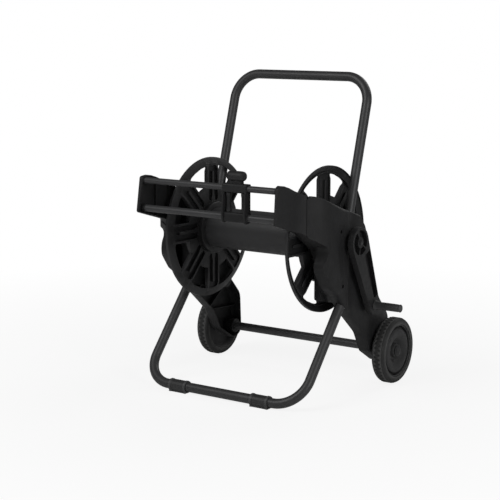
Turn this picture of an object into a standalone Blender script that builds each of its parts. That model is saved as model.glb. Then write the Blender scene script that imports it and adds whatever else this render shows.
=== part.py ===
"""Garden hose reel on a two-wheeled cart.

A spoked drum turns between two moulded side housings.  A steel tube handle
plugs into the housings from above and a steel tube leg from below.  Two arms
reach forward and carry the rails of a sliding hose guide.

Everything is laid out in metres around the drum: X runs along the drum's axis
towards the crank, Y runs from the hose guide to the wheels, Z is up from the
floor.  One empty shifts the whole model so that its origin lies under the
middle of its outline.
"""
import math

import bmesh
import bpy
from mathutils import Matrix, Vector

# Clearances
GAP = 0.0003
RUNNING_GAP = 0.0004
SIDE_PLAY = 0.0015
SHAFT_CLEARANCE = 0.001
PAST = 0.010

# Drum
AXIS_HEIGHT = 0.4815
FLANGE_RADIUS = 0.225
FLANGE_MIDDLE = 0.210
FLANGE_DEPTH = 0.014
FLANGE_WALL = 0.003
RING_WIDTH = 0.021
RING_DISH = 0.005
RING_THICKNESS = 0.0045
RING_LEDGE = 0.003
RIM_LIP = 0.004
SPOKE_COUNT = 8
SPOKE_WIDTH = 0.060
SPOKE_RIB = 0.005
GROOVE_START = 0.078
WINDOW_LEDGE = 0.004
HUB_DISC_RADIUS = 0.130
HUB_RING_WALL = 0.004
CORE_RADIUS = 0.065
CORE_WALL = 0.0035
SPIGOT_LENGTH = 0.010
FLANGE_HUB_RADIUS = 0.024

# Shafts and bearings
SHAFT_RADIUS = 0.016
CRANK_SHAFT_REACH = 0.060
SHAFT_SQUARE = 0.020
WATER_BORE = 0.008
WATER_SHAFT_REACH = 0.100
BUSH_WALL = 0.004
BUSH_COLLAR_WALL = 0.010
BUSH_COLLAR_THICKNESS = 0.0035

# Side housings, built outwards from the flanges
DRUM_GAP = 0.014
SOCKET_WALL = 0.00375
COVER_DEPTH = 0.044
ARM_DEPTH = 0.021
ARM_CHAMFER = 0.016
ARM_CHAMFER_LENGTH = 0.045
ARM_WALL = 0.002
ARM_OVERLAP = 0.0005
HOUSING_WALL = 0.003
RIB_WALL = 0.0025
RIB_RECESS = 0.0015
AXLE_BOSS_WALL = 0.010
FRAME_FRONT_Y = -0.083
DIVIDER_Y = -0.105
COVER_FRONT_Y = -0.189
BEARING_BOSS_WALL = 0.005
COVER_BOSS_RADIUS = 0.030
COVER_BOSS_HEIGHT = 0.010
GROOVE_STEP = 0.006

# Steel tubes
TUBE_RADIUS = 0.015
TUBE_WALL = 0.0015
TUBE_SIDES = 10
HANDLE_TOP_Z = 0.9650
HANDLE_END_Y = 0.0655
HANDLE_LEAN = math.radians(16.6)
HANDLE_BEND = 0.084
HANDLE_END_Z = 0.475
LEG_BAR_Y = -0.255
LEG_LEAN = math.radians(40.7)
LEG_BEND = 0.092
LEG_END_Z = 0.395

# Feet on the leg's cross bar
FOOT_WALL = 0.0032
FOOT_LENGTH = 0.064
FOOT_COLLAR = 0.0014
FOOT_COLLAR_LENGTH = 0.008
FOOT_PAD_HALF_WIDTH = 0.0125
FOOT_PAD_DROP = 0.0008
FOOT_INSET = 0.152

# Wheels
WHEEL_RADIUS = 0.105
WHEEL_WIDTH = 0.043
WHEEL_STAND_OFF = 0.0485
WHEEL_Y = 0.2186
TYRE_HEIGHT = 0.021
AXLE_RADIUS = 0.0135
AXLE_WALL = 0.0015
WHEEL_HUB_WALL = 0.009
WHEEL_CAP_RIM = 0.005

# Crank
CRANK_THICKNESS = 0.019
CRANK_LENGTH = 0.228
CRANK_ANGLE = math.radians(24.0)
CRANK_HUB_RADIUS = 0.048
CRANK_END_RADIUS = 0.022
CRANK_WALL = 0.004
CRANK_BOSS_RADIUS = 0.0165
CRANK_CAP = 0.003
CRANK_SCREW_LENGTH = 0.020
GRIP_LENGTH = 0.084
GRIP_RADIUS = 0.0122
SPINDLE_RADIUS = 0.005

# Hose guide
RAIL_Y = -0.302
UPPER_RAIL_Z = 0.661
UPPER_RAIL_RADIUS = 0.0095
LOWER_RAIL_Z = 0.576
LOWER_RAIL_RADIUS = 0.0105
RAIL_WALL = 0.0015
RAIL_SOCKET_DEPTH = 0.018
CARRIAGE_X = 0.098
CARRIAGE_WIDTH = 0.084
CARRIAGE_WALL = 0.0035
PILLAR_WIDTH = 0.006
ROLLER_RADIUS = 0.0085
ROLLER_PIN_RADIUS = 0.0025
KNOB_LENGTH = 0.058
KNOB_RADIUS = 0.0150

# Water way
INLET_RADIUS = 0.0135
INLET_REACH = 0.036
OUTLET_RADIUS = 0.0125
OUTLET_REACH = 0.032
OUTLET_NUT_WALL = 0.0035

# Screws
SCREW_SHANK = 0.0022
SCREW_HEAD = 0.0050
SCREW_HEAD_HEIGHT = 0.0028
SCREW_BOSS = 0.0058
SCREW_DEPTH = 0.014

# Facets of round shapes
FINE = 28
WHEEL_SIDES = 24
ROUND = 16
MIDDLING = 12
SMALL = 10
TINY = 8


def clear_file():
    """Empty the file that the model is built in."""
    for item in list(bpy.data.objects):
        bpy.data.objects.remove(item, do_unlink=True)


def make_material(name, colour, roughness, metallic=0.0):
    """One Principled surface with a plain colour."""
    material = bpy.data.materials.new(name)
    material.use_nodes = True
    shader = material.node_tree.nodes["Principled BSDF"]
    shader.inputs["Base Color"].default_value = (*colour, 1.0)
    shader.inputs["Roughness"].default_value = roughness
    shader.inputs["Metallic"].default_value = metallic
    material.diffuse_color = (*colour, 1.0)
    return material


# Outlines

def rounded(corners, step=math.radians(32)):
    """Closed outline through corners (u, v, radius), each turned by an arc."""
    outline = []
    count = len(corners)
    for index, (u, v, radius) in enumerate(corners):
        here = Vector((u, v))
        before = Vector(corners[index - 1][:2]) - here
        after = Vector(corners[(index + 1) % count][:2]) - here
        if radius <= 0:
            outline.append((u, v))
            continue
        half = before.angle(after) / 2
        reach = radius / math.tan(half)
        reach = min(reach, 0.49 * before.length, 0.49 * after.length)
        radius = reach * math.tan(half)
        bisector = (before.normalized() + after.normalized()).normalized()
        centre = here + bisector * (radius / math.sin(half))
        start = here + before.normalized() * reach - centre
        turn = math.pi - 2 * half
        sense = 1 if before.x * after.y - before.y * after.x < 0 else -1
        pieces = max(1, math.ceil(turn / step))
        for piece in range(pieces + 1):
            angle = sense * turn * piece / pieces
            point = centre + Matrix.Rotation(angle, 2) @ start
            outline.append((point.x, point.y))
    return outline


def inset(outline, distance):
    """The outline moved inwards by a distance, with mitred corners."""
    count = len(outline)
    area = sum(
        outline[i - 1][0] * outline[i][1] - outline[i][0] * outline[i - 1][1]
        for i in range(count)
    )
    side = 1 if area > 0 else -1
    moved = []
    for index in range(count):
        here = Vector(outline[index])
        before = (here - Vector(outline[index - 1])).normalized()
        after = (Vector(outline[(index + 1) % count]) - here).normalized()
        normal = Vector((-before.y - after.y, before.x + after.x)).normalized() * side
        stretch = max(0.35, normal.dot(Vector((-before.y, before.x)) * side))
        point = here + normal * (distance / stretch)
        moved.append((point.x, point.y))
    return moved


def circle(radius, sides, centre=(0.0, 0.0), turn=0.0):
    """Regular outline inside a circle."""
    return [
        (
            centre[0] + radius * math.cos(2 * math.pi * i / sides + turn),
            centre[1] + radius * math.sin(2 * math.pi * i / sides + turn),
        )
        for i in range(sides)
    ]


def around(radius, gap, sides):
    """Corner radius of a faceted hole whose flats clear a shaft by a gap."""
    return (radius + gap) / math.cos(math.pi / sides)


def nested(radius, gap, sides):
    """Corner radius of a faceted plug inside a hole with the same facets."""
    return radius - gap / math.cos(math.pi / sides)


def sector(inner, outer, start, end, fillet, centre=(0.0, 0.0), steps=5):
    """Part of a ring between two angles, with rounded corners."""
    inner_arc = [start + (end - start) * i / steps for i in range(steps + 1)]
    points = []
    for position, angle in enumerate(inner_arc):
        radius = fillet if position in (0, steps) else 0
        points.append((inner * math.cos(angle), inner * math.sin(angle), radius))
    for position, angle in enumerate(reversed(inner_arc)):
        radius = fillet if position in (0, steps) else 0
        points.append((outer * math.cos(angle), outer * math.sin(angle), radius))
    moved = [(u + centre[0], v + centre[1], r) for u, v, r in points]
    return rounded(moved, math.radians(90))


# Solids

AXES = {"X": (0, 1, 2), "Y": (1, 0, 2), "Z": (2, 0, 1)}


def placed(axis, along, u, v):
    """Point at a distance along an axis, with u and v on the other two axes."""
    point = [0.0, 0.0, 0.0]
    order = AXES[axis]
    point[order[0]] = along
    point[order[1]] = u
    point[order[2]] = v
    return point


def lofted(sections, axis="X"):
    """Closed solid through outlines of equal count, given as (along, outline)."""
    bm = bmesh.new()
    rings = []
    for along, outline in sections:
        rings.append([bm.verts.new(placed(axis, along, u, v)) for u, v in outline])
    count = len(rings[0])
    for low, high in zip(rings, rings[1:]):
        for i in range(count):
            bm.faces.new((low[i - 1], low[i], high[i], high[i - 1]))
    bm.faces.new(rings[0])
    bm.faces.new(rings[-1])
    bmesh.ops.recalc_face_normals(bm, faces=bm.faces)
    return bm


def prism(outline, low, high, axis="X"):
    """Outline pushed from one place to another along an axis."""
    return lofted([(low, outline), (high, outline)], axis)


def rod(radius, low, high, centre=(0.0, 0.0), axis="X", sides=ROUND):
    """Cylinder between two places along an axis."""
    return prism(circle(radius, sides, centre), low, high, axis)


def turned(profile, sides=ROUND, centre=(0.0, 0.0), axis="X"):
    """Ring-shaped solid from a closed profile of (along, radius) points."""
    bm = bmesh.new()
    rings = []
    for i in range(sides):
        angle = 2 * math.pi * i / sides
        ring = []
        for along, radius in profile:
            u = centre[0] + radius * math.cos(angle)
            v = centre[1] + radius * math.sin(angle)
            ring.append(bm.verts.new(placed(axis, along, u, v)))
        rings.append(ring)
    count = len(profile)
    for i in range(sides):
        this, last = rings[i], rings[i - 1]
        for j in range(count):
            bm.faces.new((last[j - 1], last[j], this[j], this[j - 1]))
    bmesh.ops.recalc_face_normals(bm, faces=bm.faces)
    return bm


def turned_solid(profile, sides=ROUND, centre=(0.0, 0.0), axis="X"):
    """Solid of revolution whose open profile is capped flat at both ends."""
    sections = [(along, circle(radius, sides, centre)) for along, radius in profile]
    return lofted(sections, axis)


def block(low, high):
    """Box between two corners."""
    outline = [(low[1], low[2]), (high[1], low[2]), (high[1], high[2]), (low[1], high[2])]
    return prism(outline, low[0], high[0])


def strip(start, end, width):
    """Outline of a straight bar between two points of a side view."""
    first, last = Vector(start), Vector(end)
    across = (last - first).normalized().orthogonal() * (width / 2)
    corners = (first - across, last - across, last + across, first + across)
    return [(point.x, point.y) for point in corners]


def slanted_rod(radius, start, end, sides=ROUND):
    """Cylinder between any two points."""
    direction = end - start
    bm = rod(radius, 0.0, direction.length, axis="Z", sides=sides)
    turn = direction.to_track_quat("Z", "Y").to_matrix().to_4x4()
    bmesh.ops.transform(bm, matrix=Matrix.Translation(start) @ turn, verts=bm.verts)
    return bm


def bent_path(corners, bend, step=math.radians(22.5)):
    """Points of a centre line that turns each inner corner by an arc."""
    path = [corners[0]]
    for before, here, after in zip(corners, corners[1:], corners[2:]):
        back = (before - here).normalized()
        ahead = (after - here).normalized()
        half = back.angle(ahead) / 2
        centre = here + (back + ahead).normalized() * (bend / math.sin(half))
        start = here + back * (bend / math.tan(half)) - centre
        axle = start.cross(here - centre).normalized()
        turn = math.pi - 2 * half
        pieces = math.ceil(turn / step)
        for piece in range(pieces + 1):
            path.append(centre + Matrix.Rotation(turn * piece / pieces, 3, axle) @ start)
    path.append(corners[-1])
    return path


def swept_tube(path, radius, bore, sides=TUBE_SIDES):
    """Tube with an open bore along a flat path."""
    middle = len(path) // 2
    normal = (path[middle] - path[0]).cross(path[-1] - path[0]).normalized()
    bm = bmesh.new()
    rings = []
    for index, point in enumerate(path):
        before = path[max(index - 1, 0)]
        after = path[min(index + 1, len(path) - 1)]
        side = (after - before).normalized().cross(normal)
        ring = []
        for size in (radius, bore):
            loop = []
            for i in range(sides):
                angle = 2 * math.pi * i / sides
                offset = normal * (size * math.cos(angle)) + side * (size * math.sin(angle))
                loop.append(bm.verts.new(point + offset))
            ring.append(loop)
        rings.append(ring)
    for low, high in zip(rings, rings[1:]):
        for i in range(sides):
            bm.faces.new((low[0][i - 1], low[0][i], high[0][i], high[0][i - 1]))
            bm.faces.new((low[1][i], low[1][i - 1], high[1][i - 1], high[1][i]))
    for ring in (rings[0], rings[-1]):
        for i in range(sides):
            bm.faces.new((ring[0][i - 1], ring[0][i], ring[1][i], ring[1][i - 1]))
    bmesh.ops.recalc_face_normals(bm, faces=bm.faces)
    return bm


def mirrored(bm):
    """The same solid on the other side of the drum's middle."""
    bmesh.ops.scale(bm, vec=(-1, 1, 1), verts=bm.verts)
    bmesh.ops.recalc_face_normals(bm, faces=bm.faces)
    return bm


def boolean_result(solids, operation, solver):
    """First solid after the others have been joined to it or cut out of it."""
    helpers = []
    for bm in solids:
        mesh = bpy.data.meshes.new("helper")
        bm.to_mesh(mesh)
        item = bpy.data.objects.new("helper", mesh)
        bpy.context.scene.collection.objects.link(item)
        helpers.append(item)
    for tool in helpers[1:]:
        step = helpers[0].modifiers.new("combine", "BOOLEAN")
        step.operation = operation
        step.solver = solver
        step.object = tool
    evaluated = helpers[0].evaluated_get(bpy.context.evaluated_depsgraph_get())
    result = bmesh.new()
    result.from_mesh(evaluated.to_mesh())
    evaluated.to_mesh_clear()
    for item in helpers:
        mesh = item.data
        bpy.data.objects.remove(item, do_unlink=True)
        bpy.data.meshes.remove(mesh)
    return result


def combined(base, tools, operation):
    """Boolean of solids, with the second solver where the first leaves a seam open."""
    solids = [base] + tools
    result = boolean_result(solids, operation, "EXACT")
    if not all(edge.is_manifold for edge in result.edges):
        result.free()
        result = boolean_result(solids, operation, "MANIFOLD")
    for bm in solids:
        bm.free()
    return result


def joined(base, *tools):
    """Union of solids."""
    return combined(base, list(tools), "UNION")


def cut(base, *tools):
    """A solid with others cut out of it."""
    return combined(base, list(tools), "DIFFERENCE")


# Placing

GROUPS = {}


def add_group(name, place, parent=None):
    """Empty that carries pieces; a moving group's empty lies on its joint's axis."""
    item = bpy.data.objects.new(name, None)
    bpy.context.scene.collection.objects.link(item)
    item.empty_display_size = 0.03
    place = Vector(place)
    if parent is None:
        item.location = place
        GROUPS[name] = (item, Vector((0.0, 0.0, 0.0)))
    else:
        carrier, carrier_place = GROUPS[parent]
        item.parent = carrier
        item.location = place - carrier_place
        GROUPS[name] = (item, place)


def add_piece(name, bm, material, group, origin, smooth=math.radians(35)):
    """One named sub-part, with its own origin and its own material."""
    carrier, carrier_place = GROUPS[group]
    origin = Vector(origin)
    bmesh.ops.translate(bm, vec=-origin, verts=bm.verts)
    mesh = bpy.data.meshes.new(name)
    bm.to_mesh(mesh)
    bm.free()
    mesh.shade_smooth()
    mesh.set_sharp_from_angle(angle=smooth)
    item = bpy.data.objects.new(name, mesh)
    bpy.context.scene.collection.objects.link(item)
    item.parent = carrier
    item.location = origin - carrier_place
    colour = MATERIALS[material]
    mesh.materials.append(make_material(name + "_surface", *colour))
    return item


MATERIALS = {
    "housing": ((0.022, 0.022, 0.023), 0.55),
    "drum": ((0.020, 0.020, 0.021), 0.50),
    "paint": ((0.060, 0.060, 0.062), 0.42, 0.0),
    "rubber": ((0.016, 0.016, 0.016), 0.80),
    "grip": ((0.026, 0.026, 0.027), 0.60),
    "steel": ((0.42, 0.42, 0.43), 0.35, 1.0),
    "brass": ((0.62, 0.45, 0.20), 0.35, 1.0),
    "bush": ((0.45, 0.45, 0.43), 0.45),
    "seal": ((0.010, 0.010, 0.010), 0.65),
}

SIDES = (("left", -1), ("right", 1))


def sided(bm, side):
    """A solid built on the crank side, moved to the side where it belongs."""
    return bm if side > 0 else mirrored(bm)


# Places worked out from the driving sizes

FRAME_INNER_FACE = FLANGE_MIDDLE + FLANGE_DEPTH / 2 + DRUM_GAP
FRAME_DEPTH = 2 * (TUBE_RADIUS + SOCKET_WALL)
PARTING_PLANE = FRAME_INNER_FACE + FRAME_DEPTH
COVER_OUTER_FACE = PARTING_PLANE + COVER_DEPTH
COVER_BOSS_FACE = COVER_OUTER_FACE + COVER_BOSS_HEIGHT
ARM_OUTER_FACE = FRAME_INNER_FACE + ARM_DEPTH
HANDLE_HALF_WIDTH = FRAME_INNER_FACE + FRAME_DEPTH / 2
LEG_HALF_WIDTH = PARTING_PLANE + (COVER_DEPTH - GROOVE_STEP) / 2 + GAP
WHEEL_OUTER_FACE = COVER_OUTER_FACE + WHEEL_STAND_OFF
WHEEL_HUB_RADIUS = AXLE_RADIUS + WHEEL_HUB_WALL
WHEEL_CAP_RADIUS = AXLE_RADIUS + WHEEL_CAP_RIM
AXLE_BOSS_RADIUS = AXLE_RADIUS + AXLE_BOSS_WALL
CRANK_INNER_FACE = COVER_BOSS_FACE + SIDE_PLAY
CRANK_OUTER_FACE = CRANK_INNER_FACE + CRANK_THICKNESS
CRANK_SHAFT_INNER_END = FLANGE_MIDDLE - CRANK_SHAFT_REACH
WATER_SHAFT_INNER_END = FLANGE_MIDDLE - WATER_SHAFT_REACH
WATER_SHAFT_OUTER_END = COVER_OUTER_FACE
OUTLET_X = WATER_SHAFT_INNER_END - OUTLET_REACH
SCREW_SEAT = COVER_OUTER_FACE - SCREW_DEPTH
HANDLE_TOP_Y = HANDLE_END_Y + (HANDLE_TOP_Z - HANDLE_END_Z) * math.tan(HANDLE_LEAN)
BAR_HEIGHT = TUBE_RADIUS + FOOT_WALL + FOOT_PAD_DROP
CRANK_END_Y = CRANK_LENGTH * math.sin(CRANK_ANGLE)
CRANK_END_Z = AXIS_HEIGHT - CRANK_LENGTH * math.cos(CRANK_ANGLE)
GRIP_START = CRANK_OUTER_FACE + SIDE_PLAY
GRIP_END = GRIP_START + GRIP_LENGTH
CAP_THICKNESS = 0.004
CRANK_TIP = GRIP_END + SIDE_PLAY + CAP_THICKNESS
ARM_TIP_Y = RAIL_Y - 0.030
WHEEL_BACK = WHEEL_Y + WHEEL_RADIUS
SHIFT_X = (WHEEL_OUTER_FACE - CRANK_TIP) / 2
SHIFT_Y = -(WHEEL_BACK + ARM_TIP_Y) / 2
WHEEL_MIDDLE = WHEEL_OUTER_FACE - WHEEL_WIDTH / 2
WHEEL_INNER_FACE = WHEEL_OUTER_FACE - WHEEL_WIDTH
FLANGE_INNER_FACE = FLANGE_MIDDLE - FLANGE_DEPTH / 2
FLANGE_OUTER_FACE = FLANGE_MIDDLE + FLANGE_DEPTH / 2
BUSH_RADIUS = SHAFT_RADIUS + RUNNING_GAP + BUSH_WALL
BUSH_COLLAR_RADIUS = SHAFT_RADIUS + BUSH_COLLAR_WALL
BUSH_START = FRAME_INNER_FACE - GAP - BUSH_COLLAR_THICKNESS
FLANGE_HUB_END = BUSH_START - SIDE_PLAY / 2
FRAME_OUTER_FACE = PARTING_PLANE - GAP / 2
COVER_INNER_FACE = PARTING_PLANE + GAP / 2


def handle_y(z):
    """Depth of the handle tube's centre line at a height."""
    return HANDLE_END_Y + (z - HANDLE_END_Z) * math.tan(HANDLE_LEAN)


def leg_y(z):
    """Depth of the leg tube's centre line at a height."""
    return LEG_BAR_Y + (z - BAR_HEIGHT) * math.tan(LEG_LEAN)


# Tube frame

def handle_corners():
    """Corners of the handle's centre line, from one lower end to the other."""
    low = handle_y(HANDLE_END_Z)
    return [
        Vector((-HANDLE_HALF_WIDTH, low, HANDLE_END_Z)),
        Vector((-HANDLE_HALF_WIDTH, HANDLE_TOP_Y, HANDLE_TOP_Z)),
        Vector((HANDLE_HALF_WIDTH, HANDLE_TOP_Y, HANDLE_TOP_Z)),
        Vector((HANDLE_HALF_WIDTH, low, HANDLE_END_Z)),
    ]


def leg_corners():
    """Corners of the leg's centre line, from one upper end to the other."""
    high = leg_y(LEG_END_Z)
    return [
        Vector((-LEG_HALF_WIDTH, high, LEG_END_Z)),
        Vector((-LEG_HALF_WIDTH, LEG_BAR_Y, BAR_HEIGHT)),
        Vector((LEG_HALF_WIDTH, LEG_BAR_Y, BAR_HEIGHT)),
        Vector((LEG_HALF_WIDTH, high, LEG_END_Z)),
    ]


def build_tubes():
    """Handle, leg and axle."""
    bore = TUBE_RADIUS - TUBE_WALL
    handle = swept_tube(bent_path(handle_corners(), HANDLE_BEND), TUBE_RADIUS, bore)
    add_piece("handle_tube", handle, "paint", "frame", (0, HANDLE_TOP_Y, HANDLE_TOP_Z))
    leg = swept_tube(bent_path(leg_corners(), LEG_BEND), TUBE_RADIUS, bore)
    add_piece("leg_tube", leg, "paint", "frame", (0, LEG_BAR_Y, BAR_HEIGHT))
    end = WHEEL_OUTER_FACE - 0.004
    bore = AXLE_RADIUS - AXLE_WALL
    profile = [(-end, bore), (-end, AXLE_RADIUS), (end, AXLE_RADIUS), (end, bore)]
    axle = turned(profile, MIDDLING, (WHEEL_Y, WHEEL_RADIUS))
    add_piece("axle_tube", axle, "paint", "frame", (0, WHEEL_Y, WHEEL_RADIUS))


def foot_outline(grow):
    """Round sleeve with a flat pad underneath, seen along the cross bar."""
    radius = TUBE_RADIUS + FOOT_WALL + grow
    start = math.radians(-52)
    end = math.radians(232)
    steps = 9
    outline = []
    for i in range(steps + 1):
        angle = start + (end - start) * i / steps
        outline.append((LEG_BAR_Y + radius * math.cos(angle), BAR_HEIGHT + radius * math.sin(angle)))
    outline.append((LEG_BAR_Y - FOOT_PAD_HALF_WIDTH - grow, 0.0))
    outline.append((LEG_BAR_Y + FOOT_PAD_HALF_WIDTH + grow, 0.0))
    return outline


def build_feet():
    """Two plastic sleeves that the cross bar stands on."""
    for name, side in SIDES:
        start = FOOT_INSET - FOOT_LENGTH / 2
        end = FOOT_INSET + FOOT_LENGTH / 2
        sections = []
        for along, grow in (
            (start, FOOT_COLLAR),
            (start + FOOT_COLLAR_LENGTH, FOOT_COLLAR),
            (start + FOOT_COLLAR_LENGTH + 0.001, 0.0),
            (end - FOOT_COLLAR_LENGTH - 0.001, 0.0),
            (end - FOOT_COLLAR_LENGTH, FOOT_COLLAR),
            (end, FOOT_COLLAR),
        ):
            sections.append((along, foot_outline(grow)))
        hole = around(TUBE_RADIUS, GAP, MIDDLING)
        bore = rod(hole, start - PAST, end + PAST, (LEG_BAR_Y, BAR_HEIGHT), sides=MIDDLING)
        sleeve = cut(lofted(sections), bore)
        add_piece(
            "foot_sleeve_" + name, sided(sleeve, side), "grip", "frame",
            (side * FOOT_INSET, LEG_BAR_Y, BAR_HEIGHT),
        )


# Wheels

def build_wheels():
    """Rim, tyre and push-on cap of each wheel."""
    seat = WHEEL_RADIUS - TYRE_HEIGHT
    low, high = WHEEL_INNER_FACE, WHEEL_OUTER_FACE
    tyre_profile = [
        (low, seat), (low, WHEEL_RADIUS - 0.009), (low + 0.008, WHEEL_RADIUS),
        (high - 0.008, WHEEL_RADIUS), (high, WHEEL_RADIUS - 0.009), (high, seat),
    ]
    bore = around(AXLE_RADIUS, RUNNING_GAP, WHEEL_SIDES)
    rim = nested(seat, GAP, WHEEL_SIDES)
    web_low = low + 0.014
    web_high = web_low + 0.004
    rim_profile = [
        (low + 0.001, bore), (low + 0.001, WHEEL_HUB_RADIUS), (web_low, WHEEL_HUB_RADIUS),
        (web_low, rim - 0.008), (low + 0.004, rim), (high - 0.004, rim), (web_high, rim - 0.020),
        (web_high, WHEEL_HUB_RADIUS + 0.002), (high - 0.007, WHEEL_HUB_RADIUS), (high - 0.007, bore),
    ]
    cap_radius = nested(AXLE_RADIUS - AXLE_WALL, GAP, MIDDLING)
    axle_end = high - 0.004
    cap_profile = [
        (axle_end - 0.013, cap_radius), (axle_end + GAP, cap_radius), (axle_end + GAP, WHEEL_CAP_RADIUS),
        (axle_end + 0.0026, WHEEL_CAP_RADIUS), (axle_end + 0.0036, WHEEL_CAP_RADIUS - 0.003),
    ]
    centre = (WHEEL_Y, WHEEL_RADIUS)
    for name, side in SIDES:
        group = "wheel_" + name
        origin = (side * WHEEL_MIDDLE, WHEEL_Y, WHEEL_RADIUS)
        tyre = turned(tyre_profile, WHEEL_SIDES, centre)
        add_piece("tyre_" + name, sided(tyre, side), "rubber", group, origin)
        wheel = turned(rim_profile, WHEEL_SIDES, centre)
        add_piece("wheel_rim_" + name, sided(wheel, side), "housing", group, origin)
        cap = turned_solid(cap_profile, MIDDLING, centre)
        add_piece(
            "axle_cap_" + name, sided(cap, side), "grip", "frame",
            (side * axle_end, WHEEL_Y, WHEEL_RADIUS),
        )


# Drum

def side_place(along, across, angle):
    """Place in the side view, from polar steps around the drum's axis."""
    sine, cosine = math.sin(angle), math.cos(angle)
    return (along * sine + across * cosine, AXIS_HEIGHT + along * cosine - across * sine)


def spoke_bar(angle, low, high):
    """Solid bar of a spoke, from the core to the ring, with sloping outer ends."""
    start = CORE_RADIUS + GAP
    ring = FLANGE_RADIUS - RING_WIDTH
    profile = [
        (low, start), (low, ring - 0.005), (FLANGE_MIDDLE, ring + 0.004),
        (high, ring - 0.005), (high, start),
    ]
    bar = prism(profile, -SPOKE_WIDTH / 2, SPOKE_WIDTH / 2, "Y")
    turn = Matrix.Translation((0.0, 0.0, AXIS_HEIGHT)) @ Matrix.Rotation(-angle, 4, "X")
    bmesh.ops.transform(bar, matrix=turn, verts=bar.verts)
    return bar


def spoke_grooves(angle, start, low, high):
    """Two long pockets that leave a spoke an edge rib each side and one along its middle."""
    near, far = SPOKE_RIB / 2, SPOKE_WIDTH / 2 - SPOKE_RIB
    end = FLANGE_RADIUS - RING_WIDTH - 0.006
    grooves = []
    for side in (-1, 1):
        corners = []
        for along, across in ((start, near), (end, near), (end, far), (start, far)):
            corners.append(side_place(along, side * across, angle))
        grooves.append(prism(corners, low, high))
    return grooves


def window(angle):
    """Opening between two spokes, with round corners."""
    inner = HUB_DISC_RADIUS + WINDOW_LEDGE
    outer = FLANGE_RADIUS - RING_WIDTH - WINDOW_LEDGE / 2
    half = SPOKE_WIDTH / 2 - GAP
    pitch = math.pi / SPOKE_COUNT
    corners = []
    for radius, fillet, steps in ((inner, 0.007, 2), (outer, 0.010, 3)):
        reach = pitch - math.asin(half / radius)
        arc = []
        for i in range(steps + 1):
            turn = angle - reach + 2 * reach * i / steps
            y, z = side_place(radius, 0.0, turn)
            arc.append((y, z, fillet if i in (0, steps) else 0.0))
        corners += arc if radius == inner else list(reversed(arc))
    return prism(rounded(corners, math.radians(80)), 0.1, 0.3)


def build_flange(side):
    """Spoked flange: a dished ring with a lip, channel spokes and a hub disc."""
    low, high = FLANGE_INNER_FACE, FLANGE_OUTER_FACE
    web_low = FLANGE_MIDDLE - FLANGE_WALL / 2
    web_high = FLANGE_MIDDLE + FLANGE_WALL / 2
    inner = FLANGE_RADIUS - RING_WIDTH
    rim_low = web_low + RING_DISH
    bore = around(SHAFT_RADIUS, GAP, FINE)
    spigot = nested(CORE_RADIUS - CORE_WALL, GAP, FINE)
    lip = HUB_DISC_RADIUS - HUB_RING_WALL
    ledge = web_low + RING_THICKNESS + RING_LEDGE
    body = turned([
        (FLANGE_HUB_END, bore), (FLANGE_HUB_END, FLANGE_HUB_RADIUS), (web_high, FLANGE_HUB_RADIUS),
        (web_high, lip), (high, lip), (high, HUB_DISC_RADIUS), (web_high, HUB_DISC_RADIUS),
        (web_high, inner), (ledge, inner), (ledge, inner + FLANGE_WALL),
        (web_low + RING_THICKNESS, inner + FLANGE_WALL),
        (rim_low + RING_THICKNESS, FLANGE_RADIUS - FLANGE_WALL),
        (rim_low + RING_THICKNESS + RIM_LIP, FLANGE_RADIUS - FLANGE_WALL),
        (rim_low + RING_THICKNESS + RIM_LIP, FLANGE_RADIUS), (rim_low, FLANGE_RADIUS), (web_low, inner),
        (web_low, HUB_DISC_RADIUS), (low, HUB_DISC_RADIUS), (low, lip), (web_low, lip),
        (web_low, spigot), (low - SPIGOT_LENGTH, spigot), (low - SPIGOT_LENGTH, spigot - FLANGE_WALL),
        (web_low, spigot - FLANGE_WALL), (web_low, bore),
    ], FINE, (0.0, AXIS_HEIGHT))
    pitch = 2 * math.pi / SPOKE_COUNT
    body = cut(body, *[window((index + 0.5) * pitch) for index in range(SPOKE_COUNT)])
    low, high = low + RIB_RECESS, high - RIB_RECESS
    bars = []
    grooves = []
    for index in range(SPOKE_COUNT):
        bars.append(spoke_bar(index * pitch, low, high))
        grooves += spoke_grooves(index * pitch, GROOVE_START, low - PAST, web_low)
        grooves += spoke_grooves(index * pitch, HUB_DISC_RADIUS + WINDOW_LEDGE, web_high, high + PAST)
    return sided(cut(joined(body, *bars), *grooves), side)


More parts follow.
